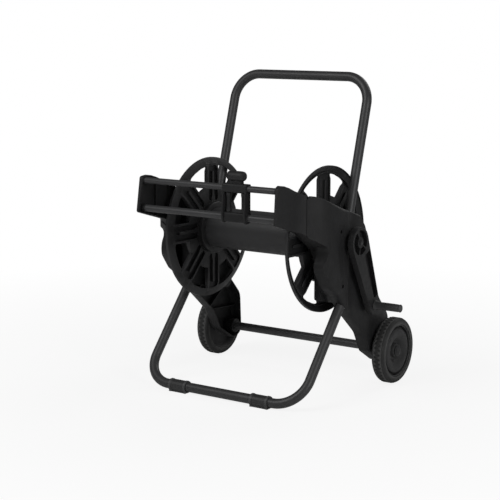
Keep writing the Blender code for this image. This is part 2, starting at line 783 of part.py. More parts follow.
def build_drum():
    """Flanges, core, shafts and the water way inside the core."""
    centre = (0.0, AXIS_HEIGHT)
    for name, side in SIDES:
        add_piece(
            "drum_flange_" + name, build_flange(side), "drum", "drum",
            (side * FLANGE_MIDDLE, 0, AXIS_HEIGHT),
        )
    inner = CORE_RADIUS - CORE_WALL
    end = FLANGE_MIDDLE - FLANGE_WALL / 2 - GAP
    profile = [(-end, inner), (-end, CORE_RADIUS), (end, CORE_RADIUS), (end, inner)]
    core = turned(profile, FINE, centre)
    outlet = rod(around(OUTLET_RADIUS, GAP, SMALL), 0.0, 0.1, (-OUTLET_X, AXIS_HEIGHT), "Y", SMALL)
    core = cut(core, outlet)
    add_piece("drum_core", core, "drum", "drum", (0, 0, AXIS_HEIGHT))

    square = SHAFT_SQUARE / 2
    stub = rod(SHAFT_RADIUS, CRANK_SHAFT_INNER_END, CRANK_INNER_FACE - GAP, centre, sides=ROUND)
    key = block(
        (CRANK_SHAFT_INNER_END + PAST, -square, AXIS_HEIGHT - square),
        (CRANK_OUTER_FACE - CRANK_CAP - GAP, square, AXIS_HEIGHT + square),
    )
    hole = around(SCREW_SHANK, GAP, TINY)
    thread_start = CRANK_OUTER_FACE - CRANK_SCREW_LENGTH - 0.002
    thread = rod(hole, thread_start, CRANK_OUTER_FACE + PAST, centre, sides=TINY)
    shaft = cut(joined(stub, key), thread)
    add_piece("crank_shaft", shaft, "steel", "drum", (CRANK_INNER_FACE, 0, AXIS_HEIGHT))

    profile = [
        (-WATER_SHAFT_OUTER_END, WATER_BORE), (-WATER_SHAFT_OUTER_END, SHAFT_RADIUS),
        (-WATER_SHAFT_INNER_END, SHAFT_RADIUS), (-WATER_SHAFT_INNER_END, WATER_BORE),
    ]
    water = turned(profile, ROUND, centre)
    add_piece("water_shaft", water, "drum", "drum", (-FLANGE_MIDDLE, 0, AXIS_HEIGHT))
    build_outlet()


def build_outlet():
    """Elbow that leads the water from the hollow shaft out through the core."""
    centre = (0.0, AXIS_HEIGHT)
    sleeve = SHAFT_RADIUS + 0.0035
    level = rod(sleeve, -WATER_SHAFT_INNER_END - 0.022, -OUTLET_X + OUTLET_RADIUS, centre, sides=MIDDLING)
    branch_end = CORE_RADIUS + 0.018
    branch = rod(OUTLET_RADIUS, 0.0, branch_end, (-OUTLET_X, AXIS_HEIGHT), "Y", SMALL)
    place = (-OUTLET_X, AXIS_HEIGHT)
    nut = rod(OUTLET_RADIUS + OUTLET_NUT_WALL, branch_end - 0.010, branch_end + 0.004, place, "Y", 6)
    socket = rod(
        around(SHAFT_RADIUS, GAP, MIDDLING), -WATER_SHAFT_INNER_END - 0.03, -WATER_SHAFT_INNER_END + GAP,
        centre, sides=MIDDLING,
    )
    way = rod(WATER_BORE, -WATER_SHAFT_INNER_END - 0.001, -OUTLET_X, centre, sides=TINY)
    mouth = rod(WATER_BORE, -WATER_BORE / 2, branch_end + PAST, place, "Y", TINY)
    elbow = cut(joined(level, branch, nut), socket, way, mouth)
    add_piece("outlet_elbow", elbow, "brass", "drum", (-OUTLET_X, 0, AXIS_HEIGHT))


def build_bushes():
    """Flanged bushes that the shafts turn in."""
    bore = around(SHAFT_RADIUS, RUNNING_GAP, ROUND)
    end = FRAME_OUTER_FACE - 0.004
    collar = BUSH_START + BUSH_COLLAR_THICKNESS
    profile = [
        (BUSH_START, bore), (BUSH_START, BUSH_COLLAR_RADIUS), (collar, BUSH_COLLAR_RADIUS),
        (collar, BUSH_RADIUS), (end, BUSH_RADIUS), (end, bore),
    ]
    for name, side in SIDES:
        bush = turned(profile, ROUND, (0.0, AXIS_HEIGHT))
        origin = (side * BUSH_START, 0, AXIS_HEIGHT)
        add_piece("bearing_bush_" + name, sided(bush, side), "bush", "frame", origin)


# Side housings

def frame_outline():
    """Side view of the inner shell: guide arm in front, handle socket behind."""
    top = HANDLE_END_Z + 0.078
    tube = handle_y(top)
    socket = TUBE_RADIUS + 0.0155
    return rounded([
        (ARM_TIP_Y + 0.018, UPPER_RAIL_Z + 0.012, 0.008),
        (ARM_TIP_Y, LOWER_RAIL_Z - 0.010, 0.008),
        (ARM_TIP_Y + 0.050, LOWER_RAIL_Z - 0.025, 0.030),
        (ARM_TIP_Y + 0.130, LOWER_RAIL_Z - 0.048, 0.040),
        (-0.108, AXIS_HEIGHT - 0.018, 0.020),
        (FRAME_FRONT_Y, 0.420, 0.020),
        (FRAME_FRONT_Y, 0.306, 0.010),
        (0.020, 0.280, 0.020),
        (0.138, 0.256, 0.025),
        (0.150, 0.400, 0.060),
        (tube + socket, top - 0.010, 0.030),
        (tube + socket, top + 0.042, 0.006),
        (tube + 0.006, top + 0.042, 0.005),
        (tube - 0.002, top - 0.004, 0.002),
        (-0.040, top + 0.036, 0.040),
        (-0.150, top + 0.070, 0.050),
        (ARM_TIP_Y + 0.075, UPPER_RAIL_Z + 0.006, 0.030),
        (ARM_TIP_Y + 0.045, UPPER_RAIL_Z + 0.015, 0.015),
    ], math.radians(50))


def cover_outline(front):
    """Side view of the cover: shoulder of the arm, rounded cheek and wheel leg."""
    boss = AXLE_BOSS_RADIUS + 0.0115
    top = HANDLE_END_Z + 0.078
    slope = (0.020 + 0.035) / 0.110
    return rounded([
        (front, top + 0.070 - slope * (front + 0.150), 0.014),
        (front, AXIS_HEIGHT + 0.035, 0.014),
        (-0.124, AXIS_HEIGHT - 0.008, 0.020),
        (-0.157, 0.418, 0.040),
        (-0.106, 0.350, 0.030),
        (-0.064, 0.322, 0.030),
        (-0.018, 0.272, 0.040),
        (0.090, 0.180, 0.060),
        (0.128, 0.112, 0.020),
        (WHEEL_Y - 0.014, WHEEL_RADIUS - boss - 0.004, 0.022),
        (WHEEL_Y + boss - 0.002, WHEEL_RADIUS - boss + 0.008, 0.030),
        (WHEEL_Y + 0.026, 0.215, 0.050),
        (0.180, 0.285, 0.060),
        (0.120, 0.450, 0.060),
        (0.090, 0.520, 0.020),
        (0.062, top + 0.002, 0.020),
        (-0.040, top + 0.034, 0.040),
    ], math.radians(45))


def outside(depth=0.0):
    """Everything further out than the side surface, which swells from the arm to the cheek."""
    low, high = ARM_OUTER_FACE, COVER_OUTER_FACE
    back = high - GROOVE_STEP / 2
    surface = [
        (low, -0.600), (low, -0.232), (low + 0.004, -0.212), (low + 0.015, -0.192),
        (low + 0.031, -0.174), (low + 0.045, -0.158), (high - GROOVE_STEP, -0.138),
        (high - 0.0015, DIVIDER_Y), (high, -0.030), (high - 0.002, -0.017),
        (high - GROOVE_STEP, -0.009), (high - GROOVE_STEP, 0.006), (back, 0.030), (back, 0.600),
    ]
    outline = [(x - depth, y) for x, y in surface]
    return prism(outline + [(0.5, 0.600), (0.5, -0.600)], -0.2, 1.2, "Z")


def tube_hole(points, low_z, high_z, y_of, x):
    """Straight cylinder along a leaning tube, for the hole that it passes."""
    low = Vector((x, y_of(low_z), low_z))
    high = Vector((x, y_of(high_z), high_z))
    return slanted_rod(around(TUBE_RADIUS, GAP, points), low, high, points)


SCREW_PLACES = ((-0.062, 0.520), (-0.050, 0.352), (0.118, 0.360))


def frame_body():
    """Inner shell before its bosses: thin arm, deeper body, open hollows."""
    low, high = FRAME_INNER_FACE, FRAME_OUTER_FACE
    outline = frame_outline()
    deep = combined(
        prism(outline, ARM_OUTER_FACE - ARM_WALL, high),
        [prism(cover_outline(ARM_TIP_Y + 0.080), low, high + PAST)], "INTERSECT",
    )
    plate = prism(outline, low, ARM_OUTER_FACE + ARM_OVERLAP)
    tip = [
        (low - ARM_CHAMFER, ARM_TIP_Y + 2 * ARM_CHAMFER_LENGTH),
        (low + 2 * ARM_CHAMFER, ARM_TIP_Y - ARM_CHAMFER_LENGTH),
        (low - ARM_CHAMFER, ARM_TIP_Y - ARM_CHAMFER_LENGTH),
    ]
    shell = cut(joined(plate, deep), outside(), prism(tip, 0.2, 1.0, "Z"))
    hollow = inset(outline, HOUSING_WALL)
    behind = DIVIDER_Y - HOUSING_WALL
    arm_pocket = combined(
        prism(hollow, low - PAST, ARM_OUTER_FACE - ARM_WALL),
        [block((0.1, -0.6, 0.1), (0.4, behind, 0.9))], "INTERSECT",
    )
    covered = inset(cover_outline(COVER_FRONT_Y), HOUSING_WALL)
    body_pocket = combined(
        prism(hollow, low + HOUSING_WALL, high + PAST),
        [prism(covered, 0.1, 0.4), block((0.1, DIVIDER_Y, 0.1), (0.4, 0.6, HANDLE_END_Z + 0.070))],
        "INTERSECT",
    )
    shoulder_pocket = combined(
        prism(hollow, ARM_OUTER_FACE + 2 * ARM_OVERLAP, high + PAST),
        [prism(covered, 0.1, 0.4), block((0.1, -0.6, 0.1), (0.4, behind, 0.9))], "INTERSECT",
    )
    return cut(shell, arm_pocket, body_pocket, shoulder_pocket)


def build_frame(side):
    """Inner shell of a side housing, with the guide arm."""
    low, high = FRAME_INNER_FACE, FRAME_OUTER_FACE
    boss_radius = BUSH_RADIUS + GAP + BEARING_BOSS_WALL
    extras = [rod(boss_radius, low + 0.001, high - RIB_RECESS, (0.0, AXIS_HEIGHT), sides=ROUND)]
    for y, z in SCREW_PLACES:
        extras.append(rod(SCREW_BOSS, low + 0.001, high - 0.0005, (y, z), sides=TINY))
    rib_face = high - RIB_RECESS
    for start, end in (
        ((0.0, AXIS_HEIGHT + 0.020), (-0.030, 0.585)),
        ((-0.010, AXIS_HEIGHT - 0.020), (-0.082, 0.350)),
        ((0.010, AXIS_HEIGHT - 0.020), (0.138, 0.310)),
    ):
        extras.append(prism(strip(start, end, RIB_WALL), low + 0.001, rib_face))
    for z in (HANDLE_END_Z - RIB_WALL / 2, HANDLE_END_Z + 0.035):
        y = handle_y(z)
        sine, cosine = math.sin(HANDLE_LEAN), math.cos(HANDLE_LEAN)
        start = (y - 0.020 * cosine, z + 0.020 * sine)
        end = (y + 0.028 * cosine, z - 0.028 * sine)
        extras.append(prism(strip(start, end, RIB_WALL), low + 0.001, rib_face))
    for along in (0.085, 0.150):
        start = (ARM_TIP_Y + along, LOWER_RAIL_Z - 0.060)
        end = (ARM_TIP_Y + along, UPPER_RAIL_Z + 0.020)
        rib = combined(
            prism(strip(start, end, RIB_WALL), low + ARM_DEPTH / 2, ARM_OUTER_FACE - 0.001),
            [prism(inset(frame_outline(), HOUSING_WALL / 2), 0.1, 0.4)], "INTERSECT",
        )
        extras.append(rib)
    rails = ((UPPER_RAIL_Z, UPPER_RAIL_RADIUS), (LOWER_RAIL_Z, LOWER_RAIL_RADIUS))
    for z, radius in rails:
        extras.append(rod(radius + 0.002, low + 0.006, ARM_OUTER_FACE - 0.001, (RAIL_Y, z), sides=SMALL))
    shell = joined(frame_body(), *extras)

    cutters = [
        rod(around(BUSH_RADIUS, GAP, ROUND), low - PAST, high + PAST, (0.0, AXIS_HEIGHT), sides=ROUND),
        tube_hole(SMALL, HANDLE_END_Z - GAP, HANDLE_END_Z + 0.20, handle_y, HANDLE_HALF_WIDTH),
    ]
    for z, radius in rails:
        hole = around(radius, GAP, SMALL)
        cutters.append(rod(hole, low - PAST, low + RAIL_SOCKET_DEPTH, (RAIL_Y, z), sides=SMALL))
    for y, z in SCREW_PLACES:
        cutters.append(rod(around(SCREW_SHANK, GAP, TINY), low + 0.012, high + PAST, (y, z), sides=TINY))
    return sided(cut(shell, *cutters), side)


def cover_body():
    """Outer shell before its bosses: crowned face, thin wall, open back."""
    low, high = COVER_INNER_FACE, COVER_OUTER_FACE
    outline = cover_outline(COVER_FRONT_Y)
    wall = HOUSING_WALL
    body = lofted([
        (low, outline), (high - 0.012, outline), (high - 0.004, inset(outline, 0.004)),
        (high, inset(outline, 0.011)),
    ])
    body = cut(body, outside())
    pocket = lofted([
        (low - PAST, inset(outline, wall)), (high - 0.013, inset(outline, wall)),
        (high - wall, inset(outline, wall + 0.007)),
    ])
    return cut(body, cut(pocket, outside(wall)))


def build_cover(side):
    """Outer shell of a side housing, with the leg that holds the axle."""
    low, high = COVER_INNER_FACE, COVER_OUTER_FACE
    ribs = []
    for start, end in (
        ((0.010, 0.252), (0.200, 0.262)),
        ((0.085, 0.180), (0.200, 0.262)),
        ((0.085, 0.180), (0.245, 0.170)),
        ((0.020, 0.250), (0.150, 0.340)),
    ):
        ribs.append(prism(strip(start, end, RIB_WALL), low + COVER_DEPTH / 2, high))
    sine, cosine = math.sin(LEG_LEAN), math.cos(LEG_LEAN)
    for z in (LEG_END_Z + RIB_WALL / 2, LEG_END_Z - 0.065):
        y = leg_y(z)
        start = (y - 0.022 * cosine, z + 0.022 * sine)
        end = (y + 0.022 * cosine, z - 0.022 * sine)
        ribs.append(prism(strip(start, end, RIB_WALL), low + RIB_RECESS, high))
    for y, z in SCREW_PLACES:
        ribs.append(rod(SCREW_BOSS + 0.0015, low + 0.0005, high, (y, z), sides=TINY))
    inner = lofted([
        (low, inset(cover_outline(COVER_FRONT_Y), HOUSING_WALL / 2)),
        (high - 0.013, inset(cover_outline(COVER_FRONT_Y), HOUSING_WALL / 2)),
        (high - 0.001, inset(cover_outline(COVER_FRONT_Y), HOUSING_WALL / 2 + 0.008)),
    ])
    stiffening = combined(cut(joined(*ribs), outside(HOUSING_WALL / 2)), [inner], "INTERSECT")
    axle_boss = rod(
        AXLE_BOSS_RADIUS, low, WHEEL_INNER_FACE - SIDE_PLAY, (WHEEL_Y, WHEEL_RADIUS), sides=MIDDLING,
    )
    shaft_boss = rod(COVER_BOSS_RADIUS, high - 0.012, COVER_BOSS_FACE, (0.0, AXIS_HEIGHT), sides=ROUND)
    body = joined(cover_body(), stiffening, axle_boss, shaft_boss)

    axle_hole = around(AXLE_RADIUS, GAP, MIDDLING)
    shaft_hole = around(SHAFT_RADIUS, SHAFT_CLEARANCE, ROUND)
    cutters = [
        rod(axle_hole, low - PAST, WHEEL_INNER_FACE + PAST, (WHEEL_Y, WHEEL_RADIUS), sides=MIDDLING),
        rod(shaft_hole, low - PAST, COVER_BOSS_FACE + PAST, (0.0, AXIS_HEIGHT), sides=ROUND),
        tube_hole(SMALL, BAR_HEIGHT, LEG_END_Z + GAP, leg_y, LEG_HALF_WIDTH),
    ]
    for y, z in SCREW_PLACES:
        cutters.append(rod(around(SCREW_SHANK, GAP, TINY), low - PAST, high + PAST, (y, z), sides=TINY))
        seat = around(SCREW_HEAD, GAP, TINY)
        cutters.append(rod(seat, SCREW_SEAT - GAP, high + PAST, (y, z), sides=TINY))
    return sided(cut(body, *cutters), side)


def build_housings():
    """Both shells of both housings, and their screws."""
    for name, side in SIDES:
        origin = (side * FRAME_INNER_FACE, 0, AXIS_HEIGHT)
        add_piece("side_frame_" + name, build_frame(side), "housing", "frame", origin)
        origin = (side * PARTING_PLANE, 0, AXIS_HEIGHT)
        add_piece("side_cover_" + name, build_cover(side), "housing", "frame", origin)
        profile = [
            (FRAME_INNER_FACE + 0.016, SCREW_SHANK), (SCREW_SEAT, SCREW_SHANK),
            (SCREW_SEAT, SCREW_HEAD), (SCREW_SEAT + SCREW_HEAD_HEIGHT, SCREW_HEAD),
        ]
        for number, (y, z) in enumerate(SCREW_PLACES, 1):
            screw = turned_solid(profile, TINY, (y, z))
            add_piece(
                "cover_screw_%s_%d" % (name, number), sided(screw, side), "steel", "frame",
                (side * SCREW_SEAT, y, z),
            )


# Crank

def crank_point(along, across):
    """Place in the side view from a distance along the crank and one across it."""
    sine, cosine = math.sin(CRANK_ANGLE), math.cos(CRANK_ANGLE)
    return (along * sine + across * cosine, AXIS_HEIGHT - along * cosine + across * sine)


def crank_outline():
    """Tapering arm between a large hub and a small end."""
    hub = CRANK_HUB_RADIUS
    end = CRANK_END_RADIUS
    lean = math.asin((hub - end) / CRANK_LENGTH)
    steps = 10
    outline = []
    for i in range(steps + 1):
        angle = math.pi / 2 - lean + (math.pi + 2 * lean) * i / steps
        outline.append(crank_point(hub * math.cos(angle), hub * math.sin(angle)))
    steps = 6
    for i in range(steps + 1):
        angle = -math.pi / 2 + lean + (math.pi - 2 * lean) * i / steps
        outline.append(crank_point(CRANK_LENGTH + end * math.cos(angle), end * math.sin(angle)))
    return outline


def build_crank():
    """Crank arm with open pockets, its screw, and the turning grip."""
    low, high = CRANK_INNER_FACE, CRANK_OUTER_FACE
    outline = crank_outline()
    arm = lofted([(low, inset(outline, 0.0015)), (low + 0.002, outline), (high, inset(outline, 0.0010))])
    floor = low + 0.004
    cutters = []
    hub = (0.0, AXIS_HEIGHT)
    outer = CRANK_HUB_RADIUS - CRANK_WALL
    inner = CRANK_BOSS_RADIUS
    down = math.atan2(-math.cos(CRANK_ANGLE), math.sin(CRANK_ANGLE))
    rib = math.radians(9)
    spread = math.radians(28)
    pockets = (
        (inner, outer, spread + rib, math.pi - rib),
        (inner, outer, math.pi + rib, 2 * math.pi - spread - rib),
        (inner + 0.001, outer - CRANK_WALL, -spread, spread),
    )
    for near, far, start, end in pockets:
        pocket = sector(near, far, down + start, down + end, 0.003, hub)
        cutters.append(prism(pocket, floor, high + PAST))
    lean = math.asin((CRANK_HUB_RADIUS - CRANK_END_RADIUS) / CRANK_LENGTH)

    def width(along):
        return (CRANK_HUB_RADIUS - along * math.sin(lean)) / math.cos(lean) - CRANK_WALL

    start = CRANK_HUB_RADIUS + CRANK_WALL * 0.5
    end = CRANK_LENGTH - 0.017
    channel = []
    for along, side in ((start, -1), (end, -1), (end, 1), (start, 1)):
        y, z = crank_point(along, side * width(along))
        channel.append((y, z, 0.008))
    cutters.append(prism(rounded(channel, math.radians(60)), floor, high + PAST))
    square = SHAFT_SQUARE / 2 + GAP
    cutters.append(block(
        (low - PAST, -square, AXIS_HEIGHT - square), (high - CRANK_CAP, square, AXIS_HEIGHT + square),
    ))
    cutters.append(rod(around(SCREW_SHANK, GAP, TINY), low, high + PAST, hub, sides=TINY))
    grip = (CRANK_END_Y, CRANK_END_Z)
    cutters.append(rod(around(SPINDLE_RADIUS, GAP, SMALL), low - PAST, high + PAST, grip, sides=SMALL))
    arm = cut(arm, *cutters)
    add_piece("crank_arm", arm, "housing", "drum", (low, 0, AXIS_HEIGHT))

    screw = turned_solid([
        (high - CRANK_SCREW_LENGTH, SCREW_SHANK), (high + GAP, SCREW_SHANK),
        (high + GAP, SCREW_HEAD + 0.002),
        (high + 0.003, SCREW_HEAD + 0.002), (high + 0.0042, SCREW_HEAD),
    ], TINY, hub)
    add_piece("crank_screw", screw, "steel", "drum", (high, 0, AXIS_HEIGHT))

    spindle = turned_solid([
        (low, SPINDLE_RADIUS), (GRIP_END + SIDE_PLAY, SPINDLE_RADIUS),
        (GRIP_END + SIDE_PLAY, GRIP_RADIUS), (CRANK_TIP - 0.0012, GRIP_RADIUS),
        (CRANK_TIP, GRIP_RADIUS - 0.0015),
    ], SMALL, grip)
    add_piece("grip_spindle", spindle, "seal", "drum", (CRANK_OUTER_FACE, CRANK_END_Y, CRANK_END_Z))
    bore = around(SPINDLE_RADIUS, RUNNING_GAP, MIDDLING)
    profile = [(GRIP_START, bore)]
    swells = ((0.0, 1.27), (0.08, 1.2), (0.17, 0.97), (0.5, 1.0), (0.94, 0.98), (1.0, 0.92))
    for share, swell in swells:
        profile.append((GRIP_START + share * GRIP_LENGTH, swell * GRIP_RADIUS))
    profile.append((GRIP_END, bore))
    handle = turned(profile, MIDDLING, grip)
    add_piece("crank_grip", handle, "grip", "crank_grip_turn", (GRIP_START, CRANK_END_Y, CRANK_END_Z))


# Hose guide

def build_rails():
    """Two tubes between the guide arms."""
    end = FRAME_INNER_FACE + RAIL_SOCKET_DEPTH - GAP
    for name, z, radius in (
        ("upper", UPPER_RAIL_Z, UPPER_RAIL_RADIUS), ("lower", LOWER_RAIL_Z, LOWER_RAIL_RADIUS),
    ):
        bore = radius - RAIL_WALL
        tube = turned([(-end, bore), (-end, radius), (end, radius), (end, bore)], MIDDLING, (RAIL_Y, z))
        add_piece("guide_rail_" + name, tube, "paint", "frame", (0, RAIL_Y, z))


def sleeve_outline(z, radius):
    """Rounded block around a rail."""
    reach = radius + RUNNING_GAP + CARRIAGE_WALL
    return rounded([
        (RAIL_Y - reach, z - reach, 0.006), (RAIL_Y + reach, z - reach, 0.006),
        (RAIL_Y + reach, z + reach, 0.006), (RAIL_Y - reach, z + reach, 0.006),
    ], math.radians(90))


def roller_x(side):
    """Place of a roller along the rails."""
    return CARRIAGE_X + side * (CARRIAGE_WIDTH / 2 - PILLAR_WIDTH - ROLLER_RADIUS - 0.001)


def build_carriage():
    """Window frame that slides on both rails, with upright rollers."""
    half = CARRIAGE_WIDTH / 2
    low, high = CARRIAGE_X - half, CARRIAGE_X + half
    upper = prism(sleeve_outline(UPPER_RAIL_Z, UPPER_RAIL_RADIUS), low, high)
    lower = prism(sleeve_outline(LOWER_RAIL_Z, LOWER_RAIL_RADIUS), low, high)
    window_low = LOWER_RAIL_Z + LOWER_RAIL_RADIUS + CARRIAGE_WALL + RUNNING_GAP
    window_high = UPPER_RAIL_Z - UPPER_RAIL_RADIUS - CARRIAGE_WALL - RUNNING_GAP
    plate = rounded([
        (RAIL_Y - 0.0125, UPPER_RAIL_Z - 0.004, 0.002), (RAIL_Y + 0.0115, UPPER_RAIL_Z - 0.004, 0.002),
        (RAIL_Y + 0.0115, LOWER_RAIL_Z, 0.002), (RAIL_Y + 0.004, LOWER_RAIL_Z - 0.017, 0.006),
        (RAIL_Y - 0.016, LOWER_RAIL_Z - 0.017, 0.006), (RAIL_Y - 0.020, LOWER_RAIL_Z + 0.008, 0.012),
    ], math.radians(60))
    plates = []
    for start in (low, high - PILLAR_WIDTH):
        plates.append(prism(plate, start + 0.0004, start + PILLAR_WIDTH - 0.0004))
    neck_top = UPPER_RAIL_Z + UPPER_RAIL_RADIUS + CARRIAGE_WALL + 0.009
    neck = prism(rounded([
        (CARRIAGE_X - 0.013, RAIL_Y - 0.009, 0.004), (CARRIAGE_X + 0.022, RAIL_Y - 0.009, 0.004),
        (CARRIAGE_X + 0.022, RAIL_Y + 0.009, 0.004), (CARRIAGE_X - 0.013, RAIL_Y + 0.009, 0.004),
    ], math.radians(90)), UPPER_RAIL_Z + UPPER_RAIL_RADIUS + 0.002, neck_top, "Z")
    body = joined(upper, lower, *plates, neck)
    cutters = []
    for z, radius in ((UPPER_RAIL_Z, UPPER_RAIL_RADIUS), (LOWER_RAIL_Z, LOWER_RAIL_RADIUS)):
        cutters.append(rod(
            around(radius, RUNNING_GAP, SMALL), low - PAST, high + PAST, (RAIL_Y, z), sides=SMALL,
        ))
    socket = 0.003
    for side in (-1, 1):
        for z in (window_low - socket, window_high - 0.001):
            hole = around(ROLLER_PIN_RADIUS, GAP, TINY)
            cutters.append(rod(hole, z, z + socket + 0.001, (roller_x(side), RAIL_Y), "Z", TINY))
    add_piece("guide_carriage", cut(body, *cutters), "housing", "guide", (CARRIAGE_X, RAIL_Y, UPPER_RAIL_Z))
    for name, side in SIDES:
        x = roller_x(side)
        foot, head = window_low - socket + GAP, window_high + socket - GAP
        pin = rod(ROLLER_PIN_RADIUS, foot, head, (x, RAIL_Y), "Z", TINY)
        add_piece("roller_pin_" + name, pin, "steel", "guide", (x, RAIL_Y, window_low))
        bore = around(ROLLER_PIN_RADIUS, RUNNING_GAP, SMALL)
        start, end = window_low + SIDE_PLAY / 2, window_high - SIDE_PLAY / 2
        waist = ROLLER_RADIUS - 0.0012
        profile = [
            (start, bore), (start, ROLLER_RADIUS), (start + 0.007, ROLLER_RADIUS), (start + 0.013, waist),
            (end - 0.013, waist), (end - 0.007, ROLLER_RADIUS), (end, ROLLER_RADIUS), (end, bore),
        ]
        roller = turned(profile, SMALL, (x, RAIL_Y), "Z")
        origin = (x, RAIL_Y, (start + end) / 2)
        add_piece("guide_roller_" + name, roller, "grip", "roller_" + name, origin)

    knob_z = neck_top + GAP + KNOB_RADIUS * 0.86
    start = CARRIAGE_X + 0.030 - KNOB_LENGTH
    profile = []
    sizes = ((0.0, 0.74), (0.06, 0.93), (0.18, 1.0), (0.82, 1.0), (0.94, 0.93), (1.0, 0.74))
    for share, size in sizes:
        profile.append((start + share * KNOB_LENGTH, KNOB_RADIUS * size))
    knob = turned_solid(profile, MIDDLING, (RAIL_Y, knob_z))
    base = block(
        (start - PAST, RAIL_Y - 0.03, knob_z - KNOB_RADIUS * 2),
        (start + KNOB_LENGTH + PAST, RAIL_Y + 0.03, knob_z - KNOB_RADIUS * 0.86),
    )
    add_piece("guide_knob", cut(knob, base), "grip", "guide", (CARRIAGE_X, RAIL_Y, knob_z))


# Water inlet on the side away from the crank

def build_inlet():
    """Fixed elbow that feeds the turning hollow shaft, with its seal."""
    centre = (0.0, AXIS_HEIGHT)
    face = COVER_BOSS_FACE
    spigot = WATER_BORE - 0.0012
    plate = rod(0.030, face + GAP, face + 0.0045, centre, sides=ROUND)
    neck = rod(INLET_RADIUS, face + 0.002, face + 0.022, centre, sides=MIDDLING)
    nose = turned_solid([
        (WATER_SHAFT_OUTER_END - 0.014, spigot - 0.0012), (WATER_SHAFT_OUTER_END - 0.009, spigot - 0.0012),
        (WATER_SHAFT_OUTER_END - 0.009, spigot), (face + 0.003, spigot),
    ], MIDDLING, centre)
    middle = face + 0.022
    branch_end = AXIS_HEIGHT - INLET_REACH
    branch = rod(INLET_RADIUS, branch_end, AXIS_HEIGHT + INLET_RADIUS * 0.9, (middle, 0.0), "Z", MIDDLING)
    collar = rod(INLET_RADIUS + 0.003, branch_end + 0.010, branch_end + 0.014, (middle, 0.0), "Z", MIDDLING)
    body = joined(plate, neck, nose, branch, collar)
    way = rod(0.0045, WATER_SHAFT_OUTER_END - 0.03, middle, centre, sides=TINY)
    fall = rod(0.0085, branch_end - PAST, AXIS_HEIGHT + 0.004, (middle, 0.0), "Z", SMALL)
    body = cut(body, way, fall)
    add_piece("water_inlet", mirrored(body), "brass", "frame", (-face, 0, AXIS_HEIGHT))
    inner = around(spigot - 0.0012, GAP, MIDDLING)
    outer = WATER_BORE * math.cos(math.pi / ROUND) - GAP
    start, end = WATER_SHAFT_OUTER_END - 0.0130, WATER_SHAFT_OUTER_END - 0.009 - GAP
    profile = [(start, inner), (start, outer), (end, outer), (end, inner)]
    ring = turned(profile, MIDDLING, centre)
    add_piece("inlet_seal", mirrored(ring), "seal", "frame", (-start, 0, AXIS_HEIGHT))


def main():
    """Build the whole reel."""
    clear_file()
    add_group("hose_reel", (SHIFT_X, SHIFT_Y, 0.0))
    add_group("frame", (0, 0, 0), "hose_reel")
    add_group("drum", (0, 0, AXIS_HEIGHT), "hose_reel")
    add_group("crank_grip_turn", (GRIP_START, CRANK_END_Y, CRANK_END_Z), "drum")
    add_group("guide", (CARRIAGE_X, RAIL_Y, UPPER_RAIL_Z), "hose_reel")
    for name, side in SIDES:
        add_group("wheel_" + name, (side * WHEEL_MIDDLE, WHEEL_Y, WHEEL_RADIUS), "hose_reel")
        add_group("roller_" + name, (roller_x(side), RAIL_Y, UPPER_RAIL_Z), "guide")
    build_tubes()
    build_feet()
    build_wheels()
    build_drum()
    build_bushes()
    build_housings()
    build_crank()
    build_rails()
    build_carriage()
    build_inlet()
    bpy.context.view_layer.update()


main()
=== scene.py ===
"""Looks of the garden hose reel: finer pieces, surfaces, studio and camera.

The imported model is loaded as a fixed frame.  Each visible piece is modelled
again here with round forms, edge radii and surface detail, in the same places,
and rides on the body that it belongs to.  Sizes are in metres and repeat the
driving dimensions of the model, laid out around the drum's axis.
"""

import math

import bmesh
import bpy
from mathutils import Matrix, Vector


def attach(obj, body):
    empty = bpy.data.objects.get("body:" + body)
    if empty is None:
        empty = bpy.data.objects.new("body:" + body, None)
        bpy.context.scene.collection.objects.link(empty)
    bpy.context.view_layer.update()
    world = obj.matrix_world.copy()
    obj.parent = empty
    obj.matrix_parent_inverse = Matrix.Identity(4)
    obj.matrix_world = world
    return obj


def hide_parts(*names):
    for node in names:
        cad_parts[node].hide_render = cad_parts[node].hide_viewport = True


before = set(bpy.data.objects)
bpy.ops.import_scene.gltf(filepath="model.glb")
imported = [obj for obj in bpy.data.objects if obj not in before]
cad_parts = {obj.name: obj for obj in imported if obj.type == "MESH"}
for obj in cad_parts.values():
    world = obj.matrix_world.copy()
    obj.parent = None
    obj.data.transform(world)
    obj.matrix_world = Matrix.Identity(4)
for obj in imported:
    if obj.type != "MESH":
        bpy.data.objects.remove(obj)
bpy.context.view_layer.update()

# Clearances
GAP = 0.0003
RUNNING_GAP = 0.0004
SIDE_PLAY = 0.0015
SHAFT_CLEARANCE = 0.001
PAST = 0.010
CHAMFER = 0.001

# Drum
AXIS_HEIGHT = 0.4815
FLANGE_RADIUS = 0.225
FLANGE_MIDDLE = 0.210
FLANGE_DEPTH = 0.014
FLANGE_WALL = 0.003
RING_WIDTH = 0.022
RING_DISH = 0.008
RING_THICKNESS = 0.0045
RING_LEDGE = 0.003
RIM_LIP = 0.004
SPOKE_COUNT = 8
SPOKE_WIDTH = 0.060
SPOKE_RIB = 0.006
SPOKE_SLOPE = 0.020
SPOKE_TIP = 0.004
SPOKE_RIB_STOP = 0.022
POCKET_STOP = 0.004
GROOVE_START = 0.086
POCKET_DEPTH = 0.0090
OUTER_POCKET_DEPTH = 0.004
WINDOW_LEDGE = 0.004
HUB_DISC_RADIUS = 0.130
COLLAR_WIDTH = 0.017
COLLAR_REACH = 0.014
CORE_RADIUS = 0.065
CORE_WALL = 0.0035
SPIGOT_LENGTH = 0.010
FLANGE_HUB_RADIUS = 0.024

